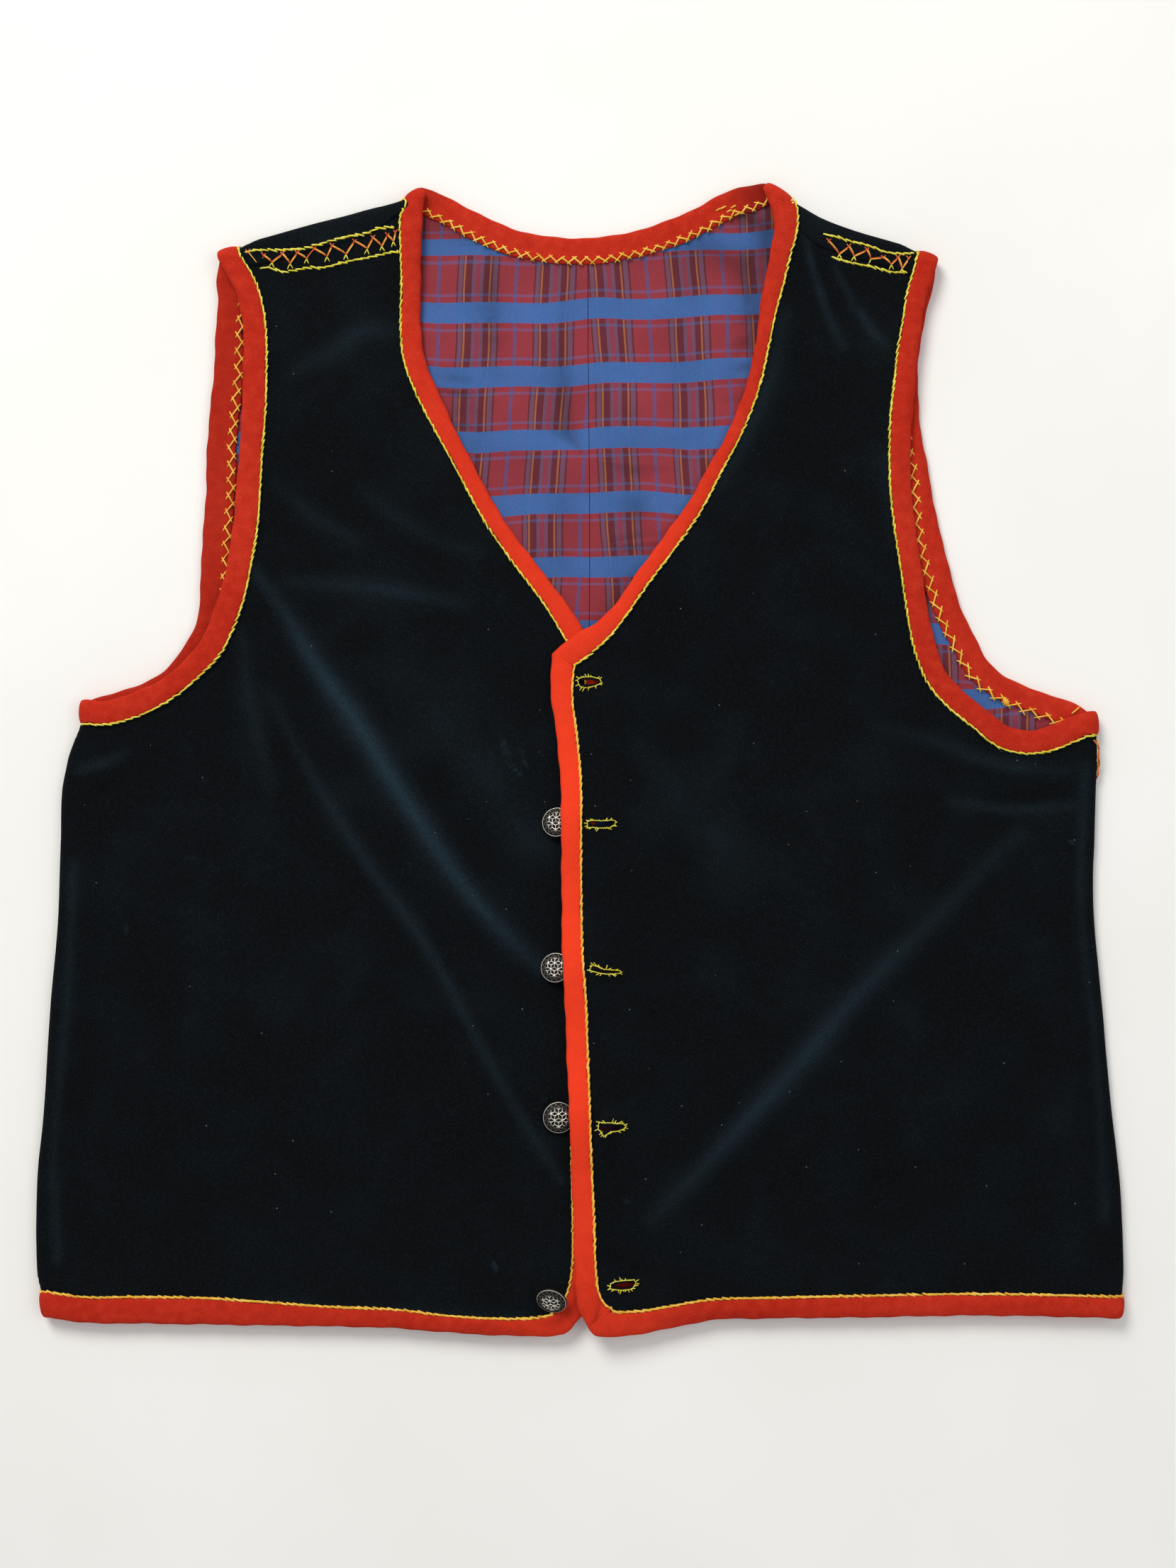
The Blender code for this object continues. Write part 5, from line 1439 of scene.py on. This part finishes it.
for side in ("right", "left"):
    holding = Stitching(f"herringbone_armhole_{side}", YELLOW)
    turned = 1 if side == "right" else -1
    shift = on_the_strip(13.0, 0) if side == "right" else on_the_strip(11.7, 3.6)
    path = lining_side(lines[side]["arm_back"], shift)
    herringbone(holding, path, 2.5 * turned, -2.3 * turned, 4.1, cross=1.7)
    if side == "left":
        for k in range(7):
            ray = STAR_RADIUS * np.array([math.cos(k * STAR_TURN), math.sin(k * STAR_TURN)])
            holding.stitch([*(STAR + ray), 5.1], [*(STAR - ray), 5.4], UP)
        holding.stitch((249.5, 316.5, 5.1), (253.5, 320.0, 5.1), UP)
    holding.finish()

# %% [markdown]
# ## Stitches on the velvet
#
# The shoulder seams are covered by a band: two stem-stitched lines with a zigzag of orange and yellow
# between them. The bands lie on the finished velvet, so each point is dropped onto it from above. Where
# nothing is under a point, it takes the fronts' usual height.

# %% Drop points onto the velvet
def tree_of(*pieces):
    points, faces = [], []
    for piece in pieces:
        first = len(points)
        points += [v.co.copy() for v in piece.data.vertices]
        faces += [tuple(first + i for i in polygon.vertices) for polygon in piece.data.polygons]
    return BVHTree.FromPolygons(points, faces)


velvet_tree = tree_of(fronts["right"], fronts["left"], back)
DROP_FROM_MM = 60


def on_velvet(x, y, lift=0.2):
    """The point of the velvet under a place of the drawing, in drawing millimetres."""
    origin = to_model((x, y, DROP_FROM_MM))
    hit, _, _, _ = velvet_tree.ray_cast(Vector(origin), Vector((0, 0, -1)))
    height = hit.z / MM if hit else FRONTS_HEIGHT_MM
    return np.array([x, y, height + lift])


def velvet_path(rows, step=1.5):
    places, _ = smooth_curve(rows, step)
    return Path([on_velvet(*p) for p in places], [UP] * len(places))


print("velvet height at the third button:", on_velvet(*DRAWN_BUTTON).round(2))

# %% Bands on the shoulders
BANDS = {
    "shoulder_right": {
        "above": (
            (346, 357.5), (360, 353.5), (382, 353.5), (411, 352), (428, 351), (447, 345.5), (470, 339),
            (496, 332.5), (512, 331), (535, 322), (556, 321),
        ),
        "below": (
            (367, 380), (382, 377), (395, 384), (418, 380.5), (437, 377), (460, 377), (476, 372),
            (496, 367.5), (522, 363), (541, 358.5), (564, 355),
        ),
        "zigzag": (
            (350, 357), (363.5, 374), (372, 361), (384, 370), (398.5, 358.5), (409, 371), (419, 357),
            (432.5, 364), (443, 351), (461, 361), (468, 347), (488, 358), (500, 340.5), (518, 350.5),
            (526, 336), (538.5, 347),
            (546.5, 332.5), (555, 340.5), (558, 329),
        ),
    },
    "shoulder_left": {
        "above": (
            (1161, 331), (1174.5, 332.5), (1191, 338), (1210, 343), (1228.5, 347.5), (1242, 354),
            (1256, 357.5), (1272, 359), (1289, 357.5),
        ),
        "below": (
            (1173, 362.5), (1188, 367.5), (1204.5, 371.5), (1223, 375), (1242, 379.5), (1258.5, 385),
            (1279, 384),
        ),
        "zigzag": (
            (1169, 340.5), (1184, 358), (1197.5, 348), (1205, 361), (1223, 353), (1228.5, 365), (1246, 363.5),
            (1257, 373), (1266.5, 364), (1272, 379), (1281, 366),
        ),
    },
}


ORANGE_LEG_MM, YELLOW_LEG_MM, SHORT_LEG_MM = 0.36, 0.27, 0.3


def laid(stitching, start, end, radius, lift=0.3):
    """One stitch between two places on the velvet."""
    stitching.stitch(on_velvet(*start, lift), on_velvet(*end, lift), UP, radius)


def zigzag(yellow, lemon, orange, nodes):
    """An orange thread and a golden one side by side, up and down, with short legs at their turns."""
    nodes = [np.array(node) for node in nodes]
    for a, b in zip(nodes, nodes[1:]):
        beyond = 0.5 * unit(b - a)
        beside_it = 0.38 * beside(unit(b - a), 1 if b[1] > a[1] else -1)
        laid(orange, a - beyond, b + beyond, ORANGE_LEG_MM)
        laid(yellow, a - 0.4 * beyond - beside_it, b - 2 * beyond - beside_it, YELLOW_LEG_MM, 0.45)
    for k, (x, y) in enumerate(nodes):
        for way in (-1, 1):
            if k % 2:
                foot = (x + way * draw.uniform(0.8, 1.6), y - draw.uniform(2.2, 3.2))
                laid(lemon, (x, y - 0.4), foot, SHORT_LEG_MM)
            else:
                foot = (x + (1.2 if way > 0 else -1.1), y + draw.uniform(1.0, 1.8))
                laid(orange, (x - way * 0.4, y - 0.6), foot, SHORT_LEG_MM)


for name, band in BANDS.items():
    yellow, orange = Stitching(f"yellow_{name}", YELLOW), Stitching(f"orange_{name}", ORANGE)
    lemon = Stitching(f"lemon_{name}", LEMON)
    for line in ("above", "below"):
        stem_line(lemon, velvet_path(drawn(band[line])), slant=0.6, radius=LEMON_MM)
    zigzag(yellow, lemon, orange, drawn(band["zigzag"]))
    for stitches in (yellow, lemon, orange):
        stitches.finish()

# %% [markdown]
# The side seams lie just below the fold, out of sight from above, but for the top of the wearer's left
# one. Orange herringbone stitches go down both, with a line of golden stem stitches under them. Their
# place on the fold is given as an angle: 0 at its middle, and minus towards the table.

# %% Stitches down the sides
SEAM_ANGLE, LEFT_TOP_ANGLE, STEM_BELOW = -60, 50, 22
SEAM_START, SEAM_STOP, SEAM_EASE = 14, 16, 30


def side_seam(side, lower=0.0):
    """A path down the side fold. On the wearer's left it comes from above the fold's middle."""
    places, ups = [], []
    points, directions = smooth_curve(SIDE_FOLD[side], 2.0)
    lengths = lengths_of(points)
    top = LEFT_TOP_ANGLE if side == "left" else SEAM_ANGLE
    for point, direction, length in zip(points, directions, lengths):
        if SEAM_START <= length <= lengths[-1] - SEAM_STOP:
            out = square_to(direction, OUTWARD[side])
            eased_by = float(smoothstep((length - SEAM_START) / SEAM_EASE))
            a = math.radians(mix(top, SEAM_ANGLE, eased_by) - lower)
            normal = np.array([*(out * math.cos(a)), math.sin(a)])
            axis = np.array([*(point - out * VELVET_FOLD), FOLD_AXIS])
            places.append(axis + normal * (VELVET_FOLD + 0.15))
            ups.append(normal)
    return Path(places, ups)


for side in ("right", "left"):
    orange, yellow = Stitching(f"orange_side_{side}", ORANGE), Stitching(f"yellow_side_{side}", YELLOW)
    herringbone(orange, side_seam(side), 1.6, -1.6, 4.6)
    stem_line(yellow, side_seam(side, STEM_BELOW), step=4.2)
    orange.finish()
    yellow.finish()

# %% [markdown]
# ## Buttonholes
#
# Each buttonhole is a slit worked over by hand: a ring of small knots lies round it, and short threads
# stick out of the ring like teeth. The rings are as uneven as the real ones, so each has a table of the
# places that it goes through.

# %% Work the buttonholes
SLITS = (
    (
        (814, 960), (820, 956), (834, 955), (846, 958), (849, 964), (840, 968), (828, 971), (818, 969),
    ),
    (
        (828.5, 1158.5), (835, 1157), (854, 1157.5), (864, 1156.5), (869, 1158.5), (867, 1163.5),
        (860, 1167.5), (848, 1168), (837, 1167), (828.5, 1167.5),
    ),
    (
        (831, 1367.5), (835, 1360.5), (842, 1361.5), (851.5, 1366), (863.5, 1367.5), (874, 1368.5),
        (877, 1371), (871.5, 1373), (863.5, 1373), (855.5, 1373), (845.5, 1371.5), (837, 1369),
    ),
    (
        (845, 1580.5), (851, 1581.5), (860, 1581.5), (870, 1583), (879, 1583.5), (883, 1587.5), (880, 1592),
        (872, 1594), (862, 1594.5), (856, 1598), (851.5, 1601), (848.5, 1595), (843.5, 1590.5),
    ),
    (
        (861, 1807), (869, 1804), (881, 1803.5), (894.5, 1803.5), (897, 1809), (893, 1815.5), (886, 1817),
        (876, 1817), (866.5, 1815.5), (860.5, 1814),
    ),
)
KNOT_MM, KNOT_STEP = 0.26, 1.15
TOOTH_MM, TOOTH_SHARE = 0.25, 0.6
BESIDE_SLIT = ((0, 0), (0, 2.4), (0, -2.4), (2.4, 0), (-2.4, 0))


def rim_height(x, y):
    """Height of the velvet beside the slit, where a thread lies across it."""
    return max(on_velvet(x + dx, y + dy)[2] for dx, dy in BESIDE_SLIT)


def buttonhole(number, outline):
    stitches = Stitching(f"buttonhole_{number}", LEMON)
    corners = np.array(drawn(outline))
    middle = corners.mean(0)
    for a, b in zip(corners, np.roll(corners, -1, axis=0)):
        count = max(1, round(np.linalg.norm(b - a) / KNOT_STEP))
        for k in range(count):
            start, end = mix(a, b, k / count), mix(a, b, (k + 1.25) / count)
            shake = np.array([draw.uniform(-0.3, 0.3), draw.uniform(-0.3, 0.3)])
            height = rim_height(*start)
            stitches.stitch([*(start + shake), height], [*(end - shake), height], UP, KNOT_MM, 0.2)
            outward = unit(start - middle) * np.array([0.6, 1.0])
            tooth = start + unit(outward) * draw.uniform(0.8, 2.0) + 2 * shake
            if draw.random() < TOOTH_SHARE:
                stitches.stitch([*start, height + 0.1], [*tooth, height - 0.2], UP, TOOTH_MM, 0.2)
    return stitches


for number, outline in enumerate(SLITS, 1):
    buttonhole(number, outline).finish()

# %% [markdown]
# ## Buttons
#
# The buttons are domed. Raised lines cover the dome in a net of hexagons, each split in three like a cube
# seen from its corner, and a ring of triangles and a plain rim go round it. The relief is a height over a
# round grid: the dome first, then each ornament added to it. Where the relief drops, the old metal is
# dark, so the same numbers give the value called hollow. They hang on their threads, so most of them
# lean: each has its own tilt in degrees, and its own small shift in millimetres.

# %% Cast the buttons
BUTTON_RADIUS = 8.0
DOME = ((0, 4.15), (2.3, 4.05), (4.6, 3.55), (6.2, 2.95), (7.1, 2.5), (7.6, 2.15), (7.9, 1.75), (8.0, 1.35))
UNDERSIDE = ((7.75, 1.1), (2.4, 1.1), (2.1, 0.1), (0.01, 0.1))
UNDERSIDE_HOLLOW, TOP_FROM = 0.7, 1.25
SUNK_RELIEF = 0.15
SPOKES, RINGS = 144, 44
CELL_MM, LINE_MM = 3.7, 0.3
NET_EDGE, RING_RADIUS, RIM_RADIUS = 5.1, 5.2, 7.5
TRIANGLES, TRIANGLES_FROM, TRIANGLES_TO = 16, 5.3, 6.9
RELIEF_MM = 0.5


def bump_at(value, centre, half):
    return np.cos(np.clip(abs(value - centre) / half, 0, 1) * math.pi / 2) ** 2


def hexagon_net(x, y):
    """1 on the lines of a net of hexagons with three spokes in each, and 0 between them."""
    best, dx, dy = np.full(len(x), 99.0), np.zeros(len(x)), np.zeros(len(x))
    row = np.round(y / (CELL_MM * math.sqrt(3) / 2))
    for shift in (-1, 0, 1):
        cy = (row + shift) * CELL_MM * math.sqrt(3) / 2
        offset = ((row + shift) % 2) * CELL_MM / 2
        cx = np.round((x - offset) / CELL_MM) * CELL_MM + offset
        near = np.hypot(x - cx, y - cy)
        take = near < best
        best, dx, dy = np.where(take, near, best), np.where(take, x - cx, dx), np.where(take, y - cy, dy)
    line = np.zeros(len(x))
    for turn_angle in (0, 60, 120):
        a = math.radians(turn_angle)
        line = np.maximum(line, bump_at(abs(dx * math.cos(a) + dy * math.sin(a)), CELL_MM / 2, LINE_MM))
    for turn_angle in (90, 210, 330):
        c, s = math.cos(math.radians(turn_angle)), math.sin(math.radians(turn_angle))
        line = np.maximum(line, np.where(dx * c + dy * s > 0, bump_at(dx * -s + dy * c, 0, LINE_MM), 0))
    return line


def button_relief(radius, angle):
    """Height over the dome and hollow, for places at a radius and an angle."""
    net = hexagon_net(radius * np.cos(angle), radius * np.sin(angle))
    net *= smoothstep((NET_EDGE - radius) / LINE_MM)
    ring = bump_at(radius, RING_RADIUS, LINE_MM)
    wave = 1 - 2 * abs((angle * TRIANGLES / math.tau) % 1 - 0.5)
    triangles = bump_at((radius - TRIANGLES_FROM) / 1.5, wave, LINE_MM)
    triangles *= (radius > RING_RADIUS) * (radius < TRIANGLES_TO)
    rim = 0.75 * bump_at(radius, RIM_RADIUS, 0.32)
    raised = np.maximum.reduce([net, 0.5 * ring, 0.55 * triangles, rim])
    shifted_tone = mix(0.8, 1.1, smoothstep((radius - 4.6) / 0.6))
    return RELIEF_MM * raised, np.clip(shifted_tone * (1.1 - raised * 1.4), 0, 1)


def cast_button(name, x_tilt, y_tilt, scale, shift):
    low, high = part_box(name)
    points, faces = [], []
    angle = np.arange(SPOKES) * math.tau / SPOKES
    for radius in np.linspace(0, BUTTON_RADIUS, RINGS):
        dome = np.interp(radius, *zip(*DOME))
        rise, _ = button_relief(np.full(SPOKES, radius), angle)
        edge = float(smoothstep((BUTTON_RADIUS - radius) / 0.5))
        heights = dome + (rise - SUNK_RELIEF) * edge
        points += [(radius * math.cos(a), radius * math.sin(a), z) for a, z in zip(angle, heights)]
    for radius, height in UNDERSIDE:
        points += [(radius * math.cos(a), radius * math.sin(a), height) for a in angle]
    rows = len(points) // SPOKES
    for i in range(rows - 1):
        for k in range(SPOKES):
            m = (k + 1) % SPOKES
            faces.append((i * SPOKES + k, (i + 1) * SPOKES + k, (i + 1) * SPOKES + m, i * SPOKES + m))
    mesh = bpy.data.meshes.new(f"pewter_{name}")
    mesh.from_pydata([tuple(v * MM for v in p) for p in points], [], faces)
    work = bmesh.new()
    work.from_mesh(mesh)
    bmesh.ops.remove_doubles(work, verts=work.verts, dist=WELD_MM * MM)
    work.to_mesh(mesh)
    work.free()
    radius = np.array([math.hypot(v.co.x, v.co.y) / MM for v in mesh.vertices])
    angle = np.array([math.atan2(v.co.y, v.co.x) for v in mesh.vertices])
    on_top = [v.co.z / MM > TOP_FROM for v in mesh.vertices]
    mark(mesh, "hollow", np.where(on_top, button_relief(radius, angle)[1], UNDERSIDE_HOLLOW))
    mesh.materials.append(PEWTER)
    tilt = Matrix.Rotation(math.radians(y_tilt), 4, "Y") @ Matrix.Rotation(math.radians(x_tilt), 4, "X")
    mesh.transform(tilt @ Matrix.Scale(scale, 4))
    new_low = np.min([v.co for v in mesh.vertices], axis=0)
    new_high = np.max([v.co for v in mesh.vertices], axis=0)
    middle = [(low[i] + high[i]) / 2 - (new_low[i] + new_high[i]) / 2 + shift[i] * MM for i in (0, 1)]
    mesh.transform(Matrix.Translation((*middle, low[2] - new_low[2] - shift[2] * MM)))
    piece = placed_piece(f"pewter_{name}", mesh)
    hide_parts(name)
    print(piece.name, len(mesh.polygons), "faces")


for name, x_tilt, y_tilt, scale, shift in (
    ("button_2", -14, -13, 0.98, (0.2, 0.3, 0.6)), ("button_3", -13, -12, 0.98, (0, 0.5, 0.6)),
    ("button_4", 0, 0, 1.03, (0, 0, 0)), ("button_5", 31, -15, 1.0, (0.6, 2.0, 0.8)),
):
    cast_button(name, x_tilt, y_tilt, scale, shift)

# %% [markdown]
# ## Table and light
#
# The waistcoat lies on a plain pale table. The light is a large soft one high on the left, as from a
# window, with a weak fill from the other side and a pale room all round.

# %% Table
MOTTLE_PER_M = 6.0
TABLE_HALF, TABLE_LEVEL = 3, -0.0002


def make_table_material():
    paint = new_material("matt white paint")
    place = add(paint, "TexCoord").outputs["Object"]
    mottle = add(paint, "TexNoise", {"Vector": place, "Scale": MOTTLE_PER_M, "Detail": 3.0})
    white = add(
        paint, "ValToRGB", {"Fac": mottle.outputs["Fac"]}, stops=[(0.3, "#f1f0ec"), (0.7, "#f6f5f2")],
    )
    shader = add(
        paint, "BsdfPrincipled",
        {"Base Color": white.outputs["Color"], "Roughness": 0.9, "Specular IOR Level": 0.2},
    )
    return finish_material(paint, shader)


table_mesh = bpy.data.meshes.new("table")
corners = [(x * TABLE_HALF, y * TABLE_HALF, TABLE_LEVEL) for x, y in ((-1, -1), (1, -1), (1, 1), (-1, 1))]
table_mesh.from_pydata(corners, [], [(0, 1, 2, 3)])
table_mesh.materials.append(make_table_material())
in_scene("table", table_mesh)
print("table", 2 * TABLE_HALF, "m square")

# %% Lights
def add_light(name, place, size, power, tint):
    data = bpy.data.lights.new(name, "AREA")
    data.shape, data.size, data.energy, data.color = "DISK", size, power, colour(tint)[:3]
    light = in_scene(name, data)
    light.location = place
    light.rotation_euler = (Vector((0, 0, 0)) - Vector(place)).to_track_quat("-Z", "Y").to_euler()


add_light("window", (-1.0, 1.8, 1.9), 1.3, 56, "#fffcf6")
add_light("fill", (1.6, 0.2, 2.2), 2.0, 13, "#fbfaf6")
world = bpy.data.worlds.new("pale room")
world.use_nodes = True
background = world.node_tree.nodes["Background"]
background.inputs["Color"].default_value = colour("#e9ebee")
background.inputs["Strength"].default_value = 0.55
bpy.context.scene.world = world
bpy.context.scene.view_settings.view_transform = "Standard"
print("two lights and a pale room")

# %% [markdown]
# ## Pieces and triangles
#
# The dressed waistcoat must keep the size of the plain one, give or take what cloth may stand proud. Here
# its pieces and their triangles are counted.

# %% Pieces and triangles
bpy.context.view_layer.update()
triangles = sum(len(face.vertices) - 2 for piece in made_pieces.values() for face in piece.data.polygons)
print(len(made_pieces), "pieces,", triangles, "triangles")
